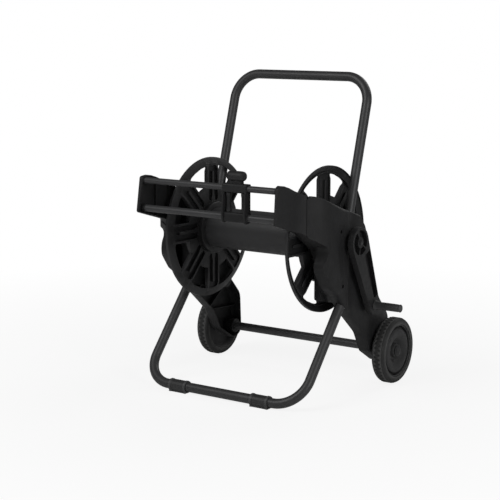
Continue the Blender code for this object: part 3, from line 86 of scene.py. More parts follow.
# Shafts and bearings
SHAFT_RADIUS = 0.016
CRANK_SHAFT_REACH = 0.060
SHAFT_SQUARE = 0.020
WATER_BORE = 0.008
WATER_SHAFT_REACH = 0.100
BUSH_WALL = 0.004
BUSH_COLLAR_WALL = 0.010
BUSH_COLLAR_THICKNESS = 0.0035

# Side housings, built outwards from the flanges
DRUM_GAP = 0.014
SOCKET_WALL = 0.00375
COVER_DEPTH = 0.044
ARM_DEPTH = 0.021
ARM_CHAMFER = 0.016
ARM_CHAMFER_LENGTH = 0.045
ARM_WALL = 0.002
ARM_OVERLAP = 0.0005
HOUSING_WALL = 0.003
RIB_WALL = 0.0025
RIB_RECESS = 0.0015
AXLE_BOSS_WALL = 0.010
FRAME_FRONT_Y = -0.083
DIVIDER_Y = -0.105
COVER_FRONT_Y = -0.189
BEARING_BOSS_WALL = 0.005
COVER_BOSS_RADIUS = 0.030
COVER_BOSS_HEIGHT = 0.010
GROOVE_STEP = 0.006

# Steel tubes
TUBE_RADIUS = 0.015
TUBE_WALL = 0.0015
HANDLE_TOP_Z = 0.9650
HANDLE_END_Y = 0.0655
HANDLE_LEAN = math.radians(16.6)
HANDLE_BEND = 0.084
HANDLE_END_Z = 0.475
LEG_BAR_Y = -0.255
LEG_LEAN = math.radians(40.7)
LEG_BEND = 0.092
LEG_END_Z = 0.395

# Feet on the leg's cross bar
FOOT_WALL = 0.0032
FOOT_LENGTH = 0.064
FOOT_COLLAR = 0.0014
FOOT_COLLAR_LENGTH = 0.008
FOOT_PAD_HALF_WIDTH = 0.0125
FOOT_PAD_DROP = 0.0008
FOOT_INSET = 0.152

# Wheels
WHEEL_RADIUS = 0.105
WHEEL_WIDTH = 0.043
WHEEL_STAND_OFF = 0.0485
WHEEL_Y = 0.2186
TYRE_HEIGHT = 0.021
AXLE_RADIUS = 0.0135
AXLE_WALL = 0.0015
AXLE_INSET = 0.004
WHEEL_HUB_WALL = 0.009
WHEEL_CAP_RIM = 0.005
SHOULDER = 0.009
TREAD_DEPTH = 0.0014
TREAD_RIB = 0.004
TREAD_BLOCKS = 44
TREAD_EDGE = 0.0006
RIM_DEPTH = 0.021
CAP_PLUG = 0.013

# Wheel face, as steps back from the outer face and inwards from the tyre's seat
RIM_FACE = (
    (0.0040, 0.0), (0.0033, 0.0008), (0.0033, 0.0030), (0.0045, 0.0042), (0.0140, 0.0052), (0.0150, 0.0062),
    (0.0150, 0.0095), (0.0140, 0.0105), (0.0062, 0.0120), (0.0045, 0.0135), (0.0033, 0.0165),
    (0.0026, 0.0215), (0.0030, 0.0285), (0.0045, 0.0355), (0.0075, 0.0425), (0.0120, 0.0480),
    (0.0170, 0.0520), (0.0180, 0.0540),
)
# Hub, as steps back from the outer face and outwards from the hub's radius
HUB_FACE = (
    (0.0180, 0.0015), (0.0170, 0.0), (0.0095, -0.0020), (0.0078, -0.0032), (0.0070, -0.0050),
)
# Axle cap, as steps outwards from the axle's end and inwards from the cap's edge
CAP_FACE = (
    (GAP, 0.0008), (0.0010, 0.0), (0.0018, 0.0004), (0.0028, 0.0030), (0.0034, 0.0080), (0.0036, 0.0130),
)

# Crank
CRANK_THICKNESS = 0.019
CRANK_LENGTH = 0.228
CRANK_ANGLE = math.radians(24.0)
CRANK_HUB_RADIUS = 0.048
CRANK_END_RADIUS = 0.030
CRANK_WALL = 0.004
CRANK_FLOOR = 0.004
CHANNEL_SHARE = 0.15
CHANNEL_STOP = 0.022
CRANK_HUB_WALL = 0.010
CRANK_BOSS_RADIUS = 0.0165
CRANK_CAP = 0.003
CRANK_SCREW_LENGTH = 0.020
GRIP_LENGTH = 0.084
GRIP_RADIUS = 0.0122
SPINDLE_RADIUS = 0.005
CAP_THICKNESS = 0.004

# Hose guide
RAIL_Y = -0.302
UPPER_RAIL_Z = 0.661
UPPER_RAIL_RADIUS = 0.0095
LOWER_RAIL_Z = 0.576
LOWER_RAIL_RADIUS = 0.0105
RAIL_WALL = 0.0015
RAIL_SOCKET_DEPTH = 0.018
CARRIAGE_X = 0.098
CARRIAGE_WIDTH = 0.084
CARRIAGE_WALL = 0.0035
PILLAR_WIDTH = 0.006
ROLLER_RADIUS = 0.0085
ROLLER_PIN_RADIUS = 0.0025
KNOB_LENGTH = 0.058
KNOB_RADIUS = 0.0150
KNOB_FOOT = 0.86
PILLAR_INSET = 0.0004
PIN_SOCKET = 0.003

# Water way
INLET_RADIUS = 0.0135
INLET_REACH = 0.036
INLET_WAY = 0.0045
INLET_BORE = 0.0085
SPIGOT_PLAY = 0.0012
SEAL_PLACE = 0.009
SEAL_SEAT = 0.005
SEAL_WIDTH = 0.004
OUTLET_RADIUS = 0.0125
OUTLET_REACH = 0.032
OUTLET_NUT_WALL = 0.0035
OUTLET_SLEEVE_WALL = 0.0035

# Screws
SCREW_SHANK = 0.0022
SCREW_HEAD = 0.0050
SCREW_HEAD_HEIGHT = 0.0028
SCREW_BOSS = 0.0058
SCREW_DEPTH = 0.014

# Studio
CAMERA_PLACE = (2.3163, -3.5244, 1.1639)
CAMERA_TARGET = (-0.0972, 0.0042, 0.4196)
CAMERA_LENS = 98.3
CAMERA_REACH = 50.0
LAMP_TARGET_Z = 0.45
SENSOR_WIDTH = 36.0
FLOOR_REACH = 12.0
FLOOR_NEAR = 0.5
FLOOR_FAR = 2.2
FLOOR_GLOW = 0.86
FLOOR_COLOUR = 0.90
FLOOR_DROP = 0.0002
WHITE = (1.0, 1.0, 1.0, 1.0)
WORLD_LIGHT = 0.10
LAMPS = (
    ("key_lamp", (-1.2, -2.9, 3.0), 2.2, 68.0),
    ("fill_lamp", (3.1, -1.0, 1.5), 1.3, 34.0),
    ("back_lamp", (0.6, 2.8, 2.6), 2.2, 36.0),
)

# Facets of round shapes
FINE = 96
WHEEL_SIDES = 120
ROUND = 64
MIDDLING = 48
SMALL = 32
TINY = 24
TUBE_SIDES = 32
ARC_STEP = math.radians(7.5)
BEND_STEP = math.radians(3)
SECTOR_STEPS = 24
SHARP_ANGLE = math.radians(35)
RIPPLE_SCALE = 28.0

# Reach of cuts that go past the whole cart, and of blocks round one housing
CUT_X = 0.5
CUT_Y = 0.6
CUT_Z = (-0.2, 1.2)
BLOCK_LOW = (0.1, -CUT_Y, 0.1)
BLOCK_HIGH = (0.4, CUT_Y, 0.9)


# Outlines

def rounded(corners):
    """Closed outline through corners (u, v, radius), each turned by an arc."""
    outline = []
    count = len(corners)
    for index, (u, v, radius) in enumerate(corners):
        here = Vector((u, v))
        before = Vector(corners[index - 1][:2]) - here
        after = Vector(corners[(index + 1) % count][:2]) - here
        if radius <= 0:
            outline.append((u, v))
            continue
        half = before.angle(after) / 2
        reach = radius / math.tan(half)
        reach = min(reach, 0.49 * before.length, 0.49 * after.length)
        radius = reach * math.tan(half)
        bisector = (before.normalized() + after.normalized()).normalized()
        centre = here + bisector * (radius / math.sin(half))
        start = here + before.normalized() * reach - centre
        turn = math.pi - 2 * half
        sense = 1 if before.x * after.y - before.y * after.x < 0 else -1
        pieces = max(1, math.ceil(turn / ARC_STEP))
        for piece in range(pieces + 1):
            angle = sense * turn * piece / pieces
            point = centre + Matrix.Rotation(angle, 2) @ start
            outline.append((point.x, point.y))
    return outline


def inset(outline, distance):
    """The outline moved inwards by a distance, with mitred corners."""
    count = len(outline)
    area = sum(
        outline[i - 1][0] * outline[i][1] - outline[i][0] * outline[i - 1][1]
        for i in range(count)
    )
    side = 1 if area > 0 else -1
    moved = []
    for index in range(count):
        here = Vector(outline[index])
        before = (here - Vector(outline[index - 1])).normalized()
        after = (Vector(outline[(index + 1) % count]) - here).normalized()
        normal = Vector((-before.y - after.y, before.x + after.x)).normalized() * side
        stretch = max(0.35, normal.dot(Vector((-before.y, before.x)) * side))
        point = here + normal * (distance / stretch)
        moved.append((point.x, point.y))
    return moved


def on_circle(centre, radius, angle):
    """Point of a circle."""
    return (centre[0] + radius * math.cos(angle), centre[1] + radius * math.sin(angle))


def circle(radius, sides, centre=(0.0, 0.0)):
    """Regular outline inside a circle."""
    return [on_circle(centre, radius, 2 * math.pi * i / sides) for i in range(sides)]


def around(radius, gap, sides):
    """Corner radius of a faceted hole whose flats clear a shaft by a gap."""
    return (radius + gap) / math.cos(math.pi / sides)


def nested(radius, gap, sides):
    """Corner radius of a faceted plug inside a hole with the same facets."""
    return radius - gap / math.cos(math.pi / sides)


def sector(inner, outer, start, end, fillet, centre):
    """Part of a ring between two angles, with rounded corners."""
    angles = [start + (end - start) * i / SECTOR_STEPS for i in range(SECTOR_STEPS + 1)]
    corners = []
    for radius, arc in ((inner, angles), (outer, angles[::-1])):
        for position, angle in enumerate(arc):
            corner = fillet if position in (0, SECTOR_STEPS) else 0
            corners.append((*on_circle(centre, radius, angle), corner))
    return rounded(corners)


# Solids

AXES = {"X": (0, 1, 2), "Y": (1, 0, 2), "Z": (2, 0, 1)}


def placed(axis, along, u, v):
    """Point at a distance along an axis, with u and v on the other two axes."""
    point = [0.0, 0.0, 0.0]
    order = AXES[axis]
    point[order[0]] = along
    point[order[1]] = u
    point[order[2]] = v
    return point


def lofted(sections, axis="X"):
    """Closed solid through outlines of equal count, given as (along, outline)."""
    bm = bmesh.new()
    rings = []
    for along, outline in sections:
        rings.append([bm.verts.new(placed(axis, along, u, v)) for u, v in outline])
    count = len(rings[0])
    for low, high in zip(rings, rings[1:]):
        for i in range(count):
            bm.faces.new((low[i - 1], low[i], high[i], high[i - 1]))
    bm.faces.new(rings[0])
    bm.faces.new(rings[-1])
    bmesh.ops.recalc_face_normals(bm, faces=bm.faces)
    return bm


def prism(outline, low, high, axis="X"):
    """Outline pushed from one place to another along an axis."""
    return lofted([(low, outline), (high, outline)], axis)


def rod(radius, low, high, centre=(0.0, 0.0), axis="X", sides=ROUND):
    """Cylinder between two places along an axis."""
    return prism(circle(radius, sides, centre), low, high, axis)


def closed_rings(bm, rings):
    """Solid whose surface runs through rings of points and back to the first one."""
    for index, this in enumerate(rings):
        last = rings[index - 1]
        for j in range(len(this)):
            bm.faces.new((last[j - 1], last[j], this[j], this[j - 1]))
    bmesh.ops.recalc_face_normals(bm, faces=bm.faces)
    return bm


def turned(profile, sides=ROUND, centre=(0.0, 0.0), axis="X"):
    """Ring-shaped solid from a closed profile of (along, radius) points."""
    bm = bmesh.new()
    rings = []
    for i in range(sides):
        angle = 2 * math.pi * i / sides
        places = [placed(axis, along, *on_circle(centre, radius, angle)) for along, radius in profile]
        rings.append([bm.verts.new(place) for place in places])
    return closed_rings(bm, rings)


def turned_solid(profile, sides, centre):
    """Solid of revolution whose open profile is capped flat at both ends."""
    return lofted([(along, circle(radius, sides, centre)) for along, radius in profile])


def pipe(low, high, bore, radius, sides, centre):
    """Straight tube with flat ends."""
    return turned([(low, bore), (low, radius), (high, radius), (high, bore)], sides, centre)


def hole_rod(radius, gap, low, high, centre, sides, axis="X"):
    """Rod that cuts a hole, whose flats clear a shaft by a gap."""
    return rod(around(radius, gap, sides), low, high, centre, axis, sides)


def block(low, high):
    """Box between two corners."""
    outline = [(low[1], low[2]), (high[1], low[2]), (high[1], high[2]), (low[1], high[2])]
    return prism(outline, low[0], high[0])


def through(outline):
    """Outline of a side view pushed through one whole housing."""
    return prism(outline, BLOCK_LOW[0], BLOCK_HIGH[0])


def ahead_of(y):
    """Block round the front of one housing, up to a depth."""
    return block(BLOCK_LOW, (BLOCK_HIGH[0], y, BLOCK_HIGH[2]))


def rib_between(start, end, low, high):
    """Straight rib between two points of a side view."""
    first, last = Vector(start), Vector(end)
    across = (last - first).normalized().orthogonal() * (RIB_WALL / 2)
    corners = (first - across, last - across, last + across, first + across)
    return prism([(point.x, point.y) for point in corners], low, high)


def rib_across(y, z, lean, before, behind, low, high):
    """Rib across a leaning tube."""
    sine, cosine = math.sin(lean), math.cos(lean)
    start = (y - before * cosine, z + before * sine)
    end = (y + behind * cosine, z - behind * sine)
    return rib_between(start, end, low, high)


def slanted_rod(radius, start, end, sides):
    """Cylinder between any two points."""
    direction = end - start
    bm = rod(radius, 0.0, direction.length, axis="Z", sides=sides)
    turn = direction.to_track_quat("Z", "Y").to_matrix().to_4x4()
    bmesh.ops.transform(bm, matrix=Matrix.Translation(start) @ turn, verts=bm.verts)
    return bm


def bent_path(corners, bend):
    """Points of a centre line that turns each inner corner by an arc."""
    path = [corners[0]]
    for before, here, after in zip(corners, corners[1:], corners[2:]):
        back = (before - here).normalized()
        ahead = (after - here).normalized()
        half = back.angle(ahead) / 2
        centre = here + (back + ahead).normalized() * (bend / math.sin(half))
        start = here + back * (bend / math.tan(half)) - centre
        axle = start.cross(here - centre).normalized()
        turn = math.pi - 2 * half
        pieces = math.ceil(turn / BEND_STEP)
        for piece in range(pieces + 1):
            path.append(centre + Matrix.Rotation(turn * piece / pieces, 3, axle) @ start)
    path.append(corners[-1])
    return path


def swept_tube(path, radius, bore):
    """Tube with an open bore along a flat path."""
    middle = len(path) // 2
    normal = (path[middle] - path[0]).cross(path[-1] - path[0]).normalized()
    sides = []
    for before, after in zip([path[0], *path], [*path[1:], path[-1]]):
        sides.append((after - before).normalized().cross(normal))
    bm = bmesh.new()
    rings = []
    for i in range(TUBE_SIDES):
        angle = 2 * math.pi * i / TUBE_SIDES
        ring = []
        for size, step in ((radius, 1), (bore, -1)):
            for point, side in list(zip(path, sides))[::step]:
                offset = normal * (size * math.cos(angle)) + side * (size * math.sin(angle))
                ring.append(bm.verts.new(point + offset))
        rings.append(ring)
    return closed_rings(bm, rings)


def mirrored(bm):
    """The same solid on the other side of the drum's middle."""
    bmesh.ops.scale(bm, vec=(-1, 1, 1), verts=bm.verts)
    bmesh.ops.recalc_face_normals(bm, faces=bm.faces)
    return bm


def boolean_result(solids, operation, solver):
    """First solid after the others have been joined to it or cut out of it."""
    helpers = []
    for bm in solids:
        mesh = bpy.data.meshes.new("helper")
        bm.to_mesh(mesh)
        item = bpy.data.objects.new("helper", mesh)
        bpy.context.scene.collection.objects.link(item)
        helpers.append(item)
    for tool in helpers[1:]:
        step = helpers[0].modifiers.new("combine", "BOOLEAN")
        step.operation = operation
        step.solver = solver
        step.object = tool
    evaluated = helpers[0].evaluated_get(bpy.context.evaluated_depsgraph_get())
    result = bmesh.new()
    result.from_mesh(evaluated.to_mesh())
    evaluated.to_mesh_clear()
    for item in helpers:
        mesh = item.data
        bpy.data.objects.remove(item, do_unlink=True)
        bpy.data.meshes.remove(mesh)
    return result


def combined(base, tools, operation):
    """Boolean of solids, with the second solver where the first leaves a seam open."""
    solids = [base] + tools
    result = boolean_result(solids, operation, "EXACT")
    if not all(edge.is_manifold for edge in result.edges):
        result.free()
        result = boolean_result(solids, operation, "MANIFOLD")
    for bm in solids:
        bm.free()
    return result


def joined(base, *tools):
    """Union of solids."""
    return combined(base, list(tools), "UNION")


def cut(base, *tools):
    """A solid with others cut out of it."""
    return combined(base, list(tools), "DIFFERENCE")


def shared(base, *tools):
    """What a solid has in common with others."""
    return combined(base, list(tools), "INTERSECT")


# Surfaces

def new_node(tree, kind, **values):
    """Shader node with its input sockets set by name."""
    node = tree.nodes.new(kind)
    for name, value in values.items():
        node.inputs[name.replace("_", " ")].default_value = value
    return node


def noise(tree, scale, detail):
    """Noise over the piece's own coordinates, in features per metre."""
    place = new_node(tree, "ShaderNodeTexCoord")
    texture = new_node(tree, "ShaderNodeTexNoise", Scale=scale, Detail=detail)
    tree.links.new(place.outputs["Object"], texture.inputs["Vector"])
    return texture.outputs["Fac"]


def ranged(tree, source, low, high, start=0.3, end=0.7):
    """A value moved from one range to another."""
    node = new_node(tree, "ShaderNodeMapRange", From_Min=start, From_Max=end, To_Min=low, To_Max=high)
    tree.links.new(source, node.inputs["Value"])
    return node.outputs["Result"]


def blended(tree, share, first, second):
    """Colour between two colours or sockets."""
    node = tree.nodes.new("ShaderNodeMix")
    node.data_type = "RGBA"
    tree.links.new(share, node.inputs["Factor"])
    for name, colour in (("A", first), ("B", second)):
        socket = [item for item in node.inputs if item.name == name and item.type == "RGBA"][0]
        if isinstance(colour, tuple):
            socket.default_value = (*colour, 1.0)
        else:
            tree.links.new(colour, socket)
    return [item for item in node.outputs if item.type == "RGBA"][0]


def surface(name, dark, light, rough, grain, grain_scale, edge=0.0, edge_wear_and_highlight=0.0, ripple=0.0, metallic=0.0,
            specular=0.5):
    """Principled surface with mottled colour and gloss, fine grain, rounded edges, and edges lightened as
    wear and as painted highlight.
    """
    material = bpy.data.materials.new(name)
    material.use_nodes = True
    tree = material.node_tree
    shader = tree.nodes["Principled BSDF"]
    shader.inputs["Metallic"].default_value = metallic
    shader.inputs["Specular IOR Level"].default_value = specular
    colour = blended(tree, ranged(tree, noise(tree, 14.0, 4.0), 0.0, 1.0), dark, light)
    # Edges are painted lighter by pointiness: partly wear, partly a painted highlight where light catches the
    # rounded edges.
    if edge_wear_and_highlight:
        shape = new_node(tree, "ShaderNodeNewGeometry")
        edges = ranged(tree, shape.outputs["Pointiness"], 0.0, edge_wear_and_highlight, 0.51, 0.60)
        colour = blended(tree, edges, colour, tuple(min(1.0, part * 3.0 + 0.01) for part in light))
    tree.links.new(colour, shader.inputs["Base Color"])
    gloss = ranged(tree, noise(tree, 45.0, 3.0), rough[0], rough[1])
    tree.links.new(gloss, shader.inputs["Roughness"])
    normal = None
    if edge:
        rounding = new_node(tree, "ShaderNodeBevel", Radius=edge)
        rounding.samples = 6
        normal = rounding.outputs["Normal"]
    for height, scale in ((ripple, RIPPLE_SCALE), (grain, grain_scale)):
        if height:
            bump = new_node(tree, "ShaderNodeBump", Strength=1.0, Distance=height)
            tree.links.new(noise(tree, scale, 2.0), bump.inputs["Height"])
            if normal is not None:
                tree.links.new(normal, bump.inputs["Normal"])
            normal = bump.outputs["Normal"]
    if normal is not None:
        tree.links.new(normal, shader.inputs["Normal"])
    return material


def grey(level, blue=0.0005):
    """Nearly neutral colour."""
    return (level, level, level + blue)


# Slot and look of each finish
# Edge lightening in these surfaces is part wear, part painted highlight.
SURFACES = {
    "housing": ("housing_plastic", surface(
        "moulded_housing", grey(0.012), grey(0.017), (0.46, 0.60), 0.00006, 1300.0, 0.0002, 0.1,
        ripple=0.0002, specular=0.22)),
    "drum": ("drum_plastic", surface(
        "moulded_drum", grey(0.011), grey(0.016), (0.40, 0.54), 0.00004, 1700.0, 0.0009, 0.5, specular=0.26)),
    "paint": ("frame_paint", surface(
        "powder_coat", grey(0.030, 0.001), grey(0.038, 0.001), (0.40, 0.50), 0.00001, 700.0, edge_wear_and_highlight=0.15,
        specular=0.40)),
    "rail": ("rail_paint", surface(
        "rail_coat", grey(0.026, 0.001), grey(0.034, 0.001), (0.36, 0.46), 0.00001, 800.0, edge_wear_and_highlight=0.15,
        specular=0.34)),
    "wheel": ("housing_plastic", surface(
        "moulded_wheel", grey(0.023), grey(0.032), (0.46, 0.60), 0.00006, 1300.0, 0.0009, 0.4,
        specular=0.24)),
    "rubber": ("tyre_rubber", surface(
        "tyre_rubber", grey(0.025, 0.0), grey(0.036, -0.0005), (0.70, 0.88), 0.00010, 900.0, 0.0008, 0.6,
        specular=0.25)),
    "grip": ("trim_plastic", surface(
        "smooth_trim", grey(0.011), grey(0.016), (0.46, 0.58), 0.00005, 1900.0, 0.0008, 0.4, specular=0.28)),
    "handhold": ("trim_plastic", surface(
        "grained_trim", grey(0.026), grey(0.036), (0.40, 0.52), 0.00002, 1900.0, 0.0008, 0.4, specular=0.34)),
    "steel": ("plated_steel", surface(
        "plated_steel", grey(0.38, 0.01), grey(0.46, 0.01), (0.26, 0.42), 0.00003, 2600.0, 0.0004,
        metallic=1.0)),
    "screw": ("plated_steel", surface(
        "black_steel", grey(0.035, 0.001), grey(0.055, 0.001), (0.34, 0.48), 0.00003, 2600.0, 0.0004,
        metallic=0.6)),
    "brass": ("brass", surface(
        "turned_brass", (0.56, 0.40, 0.17), (0.66, 0.49, 0.23), (0.26, 0.40), 0.00003, 2200.0, 0.0005,
        metallic=1.0)),
    "bush": ("bearing_plastic", surface(
        "bearing_plastic", grey(0.42, -0.02), grey(0.48, -0.02), (0.38, 0.50), 0.00003, 1800.0, 0.0004)),
    "seal": ("seal_rubber", surface(
        "seal_rubber", grey(0.009, 0.0), grey(0.014, 0.0), (0.60, 0.75), 0.00004, 1500.0)),
}


# Placing

def add_piece(name, bm, finish, body, origin):
    """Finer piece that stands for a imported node, rides on its body and takes its finish."""
    place = Vector(origin)
    bmesh.ops.translate(bm, vec=-place, verts=bm.verts)
    mesh = bpy.data.meshes.new(name)
    bm.to_mesh(mesh)
    bm.free()
    mesh.shade_smooth()
    mesh.set_sharp_from_angle(angle=SHARP_ANGLE)
    item = bpy.data.objects.new("fine_" + name, mesh)
    bpy.context.scene.collection.objects.link(item)
    item.location = place + Vector((SHIFT_X, SHIFT_Y, 0.0))
    slot, material = SURFACES[finish]
    mesh.materials.append(material)
    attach(item, body)
    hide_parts(name)


SIDES = (("left", -1), ("right", 1))


def sided(bm, side):
    """A solid built on the crank side, moved to the side where it belongs."""
    return bm if side > 0 else mirrored(bm)


# Places worked out from the driving sizes

FRAME_INNER_FACE = FLANGE_MIDDLE + FLANGE_DEPTH / 2 + DRUM_GAP
FRAME_DEPTH = 2 * (TUBE_RADIUS + SOCKET_WALL)
PARTING_PLANE = FRAME_INNER_FACE + FRAME_DEPTH
COVER_OUTER_FACE = PARTING_PLANE + COVER_DEPTH
COVER_BOSS_FACE = COVER_OUTER_FACE + COVER_BOSS_HEIGHT
ARM_OUTER_FACE = FRAME_INNER_FACE + ARM_DEPTH
HANDLE_HALF_WIDTH = FRAME_INNER_FACE + FRAME_DEPTH / 2
LEG_HALF_WIDTH = PARTING_PLANE + (COVER_DEPTH - GROOVE_STEP) / 2 + GAP
WHEEL_OUTER_FACE = COVER_OUTER_FACE + WHEEL_STAND_OFF
WHEEL_HUB_RADIUS = AXLE_RADIUS + WHEEL_HUB_WALL
WHEEL_CAP_RADIUS = AXLE_RADIUS + WHEEL_CAP_RIM
AXLE_BOSS_RADIUS = AXLE_RADIUS + AXLE_BOSS_WALL
CRANK_INNER_FACE = COVER_BOSS_FACE + SIDE_PLAY
CRANK_OUTER_FACE = CRANK_INNER_FACE + CRANK_THICKNESS
CRANK_SHAFT_INNER_END = FLANGE_MIDDLE - CRANK_SHAFT_REACH
WATER_SHAFT_INNER_END = FLANGE_MIDDLE - WATER_SHAFT_REACH
WATER_SHAFT_OUTER_END = COVER_OUTER_FACE
OUTLET_X = WATER_SHAFT_INNER_END - OUTLET_REACH
SCREW_SEAT = COVER_OUTER_FACE - SCREW_DEPTH
HANDLE_TOP_Y = HANDLE_END_Y + (HANDLE_TOP_Z - HANDLE_END_Z) * math.tan(HANDLE_LEAN)
BAR_HEIGHT = TUBE_RADIUS + FOOT_WALL + FOOT_PAD_DROP
CRANK_END_Y = CRANK_LENGTH * math.sin(CRANK_ANGLE)
CRANK_END_Z = AXIS_HEIGHT - CRANK_LENGTH * math.cos(CRANK_ANGLE)
CRANK_TAPER = math.asin((CRANK_HUB_RADIUS - CRANK_END_RADIUS) / CRANK_LENGTH)
GRIP_START = CRANK_OUTER_FACE + SIDE_PLAY
GRIP_END = GRIP_START + GRIP_LENGTH
CRANK_TIP = GRIP_END + SIDE_PLAY + CAP_THICKNESS
ARM_TIP_Y = RAIL_Y - 0.030
WHEEL_BACK = WHEEL_Y + WHEEL_RADIUS
SHIFT_X = (WHEEL_OUTER_FACE - CRANK_TIP) / 2
SHIFT_Y = -(WHEEL_BACK + ARM_TIP_Y) / 2
WHEEL_MIDDLE = WHEEL_OUTER_FACE - WHEEL_WIDTH / 2
WHEEL_INNER_FACE = WHEEL_OUTER_FACE - WHEEL_WIDTH
FLANGE_INNER_FACE = FLANGE_MIDDLE - FLANGE_DEPTH / 2
FLANGE_OUTER_FACE = FLANGE_MIDDLE + FLANGE_DEPTH / 2
BUSH_RADIUS = SHAFT_RADIUS + RUNNING_GAP + BUSH_WALL
BUSH_COLLAR_RADIUS = SHAFT_RADIUS + BUSH_COLLAR_WALL
BUSH_START = FRAME_INNER_FACE - GAP - BUSH_COLLAR_THICKNESS
FLANGE_HUB_END = BUSH_START - SIDE_PLAY / 2
FRAME_OUTER_FACE = PARTING_PLANE - GAP / 2
COVER_INNER_FACE = PARTING_PLANE + GAP / 2
AXLE_END = WHEEL_OUTER_FACE - AXLE_INSET
INLET_SPIGOT = WATER_BORE - SPIGOT_PLAY
INLET_TIP = INLET_SPIGOT - SPIGOT_PLAY
SEAL_END = WATER_SHAFT_OUTER_END - SEAL_PLACE
DRUM_AXIS = (0.0, AXIS_HEIGHT)
WHEEL_AXIS = (WHEEL_Y, WHEEL_RADIUS)
BAR_AXIS = (LEG_BAR_Y, BAR_HEIGHT)
GRIP_AXIS = (CRANK_END_Y, CRANK_END_Z)
RAILS = (("upper", UPPER_RAIL_Z, UPPER_RAIL_RADIUS), ("lower", LOWER_RAIL_Z, LOWER_RAIL_RADIUS))
OUTLET_AXIS = (-OUTLET_X, AXIS_HEIGHT)
CLAMP = CARRIAGE_WALL + RUNNING_GAP
WINDOW_LOW = LOWER_RAIL_Z + LOWER_RAIL_RADIUS + CLAMP
WINDOW_HIGH = UPPER_RAIL_Z - UPPER_RAIL_RADIUS - CLAMP
NECK_TOP = UPPER_RAIL_Z + UPPER_RAIL_RADIUS + CARRIAGE_WALL + 0.009


def handle_y(z):
    """Depth of the handle tube's centre line at a height."""
    return HANDLE_END_Y + (z - HANDLE_END_Z) * math.tan(HANDLE_LEAN)


def leg_y(z):
    """Depth of the leg tube's centre line at a height."""
    return LEG_BAR_Y + (z - BAR_HEIGHT) * math.tan(LEG_LEAN)


# Tube frame

def bent_frame(half, end, bar, bend):
    """Tube bent like a U, from its half width and the places of its ends and its bar in the side view."""
    corners = [Vector((-half, *end)), Vector((-half, *bar)), Vector((half, *bar)), Vector((half, *end))]
    return swept_tube(bent_path(corners, bend), TUBE_RADIUS, TUBE_RADIUS - TUBE_WALL)


def build_tubes():
    """Handle, leg and axle."""
    top = (HANDLE_TOP_Y, HANDLE_TOP_Z)
    handle = bent_frame(HANDLE_HALF_WIDTH, (handle_y(HANDLE_END_Z), HANDLE_END_Z), top, HANDLE_BEND)
    add_piece("handle_tube", handle, "paint", "frame", (0, *top))
    leg = bent_frame(LEG_HALF_WIDTH, (leg_y(LEG_END_Z), LEG_END_Z), BAR_AXIS, LEG_BEND)
    add_piece("leg_tube", leg, "paint", "frame", (0, *BAR_AXIS))
    axle = pipe(-AXLE_END, AXLE_END, AXLE_RADIUS - AXLE_WALL, AXLE_RADIUS, MIDDLING, WHEEL_AXIS)
    add_piece("axle_tube", axle, "paint", "frame", (0, *WHEEL_AXIS))


def foot_outline(grow):
    """Round sleeve with a flat pad underneath, seen along the cross bar."""
    radius = TUBE_RADIUS + FOOT_WALL + grow
    start = math.radians(-52)
    end = math.radians(232)
    steps = 9
    outline = []
    for i in range(steps + 1):
        outline.append(on_circle(BAR_AXIS, radius, start + (end - start) * i / steps))
    outline.append((LEG_BAR_Y - FOOT_PAD_HALF_WIDTH - grow, 0.0))
    outline.append((LEG_BAR_Y + FOOT_PAD_HALF_WIDTH + grow, 0.0))
    return outline


def build_feet():
    """Two plastic sleeves that the cross bar stands on."""
    start = FOOT_INSET - FOOT_LENGTH / 2
    end = FOOT_INSET + FOOT_LENGTH / 2
    collar_end, collar_start = start + FOOT_COLLAR_LENGTH, end - FOOT_COLLAR_LENGTH
    steps = (
        (start, FOOT_COLLAR), (collar_end, FOOT_COLLAR), (collar_end + CHAMFER, 0.0),
        (collar_start - CHAMFER, 0.0), (collar_start, FOOT_COLLAR), (end, FOOT_COLLAR),
    )
    for name, side in SIDES:
        bore = hole_rod(TUBE_RADIUS, GAP, start - PAST, end + PAST, BAR_AXIS, MIDDLING)
        sleeve = cut(lofted([(along, foot_outline(grow)) for along, grow in steps]), bore)
        origin = (side * FOOT_INSET, *BAR_AXIS)
        add_piece("foot_sleeve_" + name, sided(sleeve, side), "handhold", "frame", origin)


# Wheels

def tread_mesh():
    """Tyre with round shoulders, a middle rib and two staggered rows of tread blocks."""
    low, high = WHEEL_INNER_FACE, WHEEL_OUTER_FACE
    middle = (low + high) / 2
    seat = WHEEL_RADIUS - TYRE_HEIGHT
    floor = WHEEL_RADIUS - TREAD_DEPTH
    section = rounded([(low, seat, 0), (low, floor, SHOULDER), (high, floor, SHOULDER), (high, seat, 0)])
    half = len(section) // 2
    profile = [(along, radius, None) for along, radius in section[:half]]
    edge = WHEEL_WIDTH / 2 - SHOULDER
    for along, row in (
        (-edge, 0), (-edge + TREAD_EDGE, 0), (-TREAD_RIB - TREAD_EDGE, 0), (-TREAD_RIB, None),
        (TREAD_RIB, None), (TREAD_RIB + TREAD_EDGE, 1), (edge - TREAD_EDGE, 1), (edge, 1),
    ):
        raised = 0.0 if abs(along) == edge else TREAD_DEPTH
        profile.append((middle + along, floor + raised, row))
    profile += [(along, radius, None) for along, radius in section[half:]]
    bm = bmesh.new()
    rings = []
    steps = ((0.0, (1, 1)), (0.06, (0, 1)), (0.44, (0, 1)), (0.5, (1, 1)), (0.56, (1, 0)), (0.94, (1, 0)))
    for block in range(TREAD_BLOCKS):
        for share, rows in steps:
            angle = 2 * math.pi * (block + share) / TREAD_BLOCKS
            ring = []
            for along, radius, row in profile:
                if row is not None and not rows[row]:
                    radius = min(radius, floor)
                ring.append(bm.verts.new(placed("X", along, *on_circle(WHEEL_AXIS, radius, angle))))
            rings.append(ring)
    return closed_rings(bm, rings)


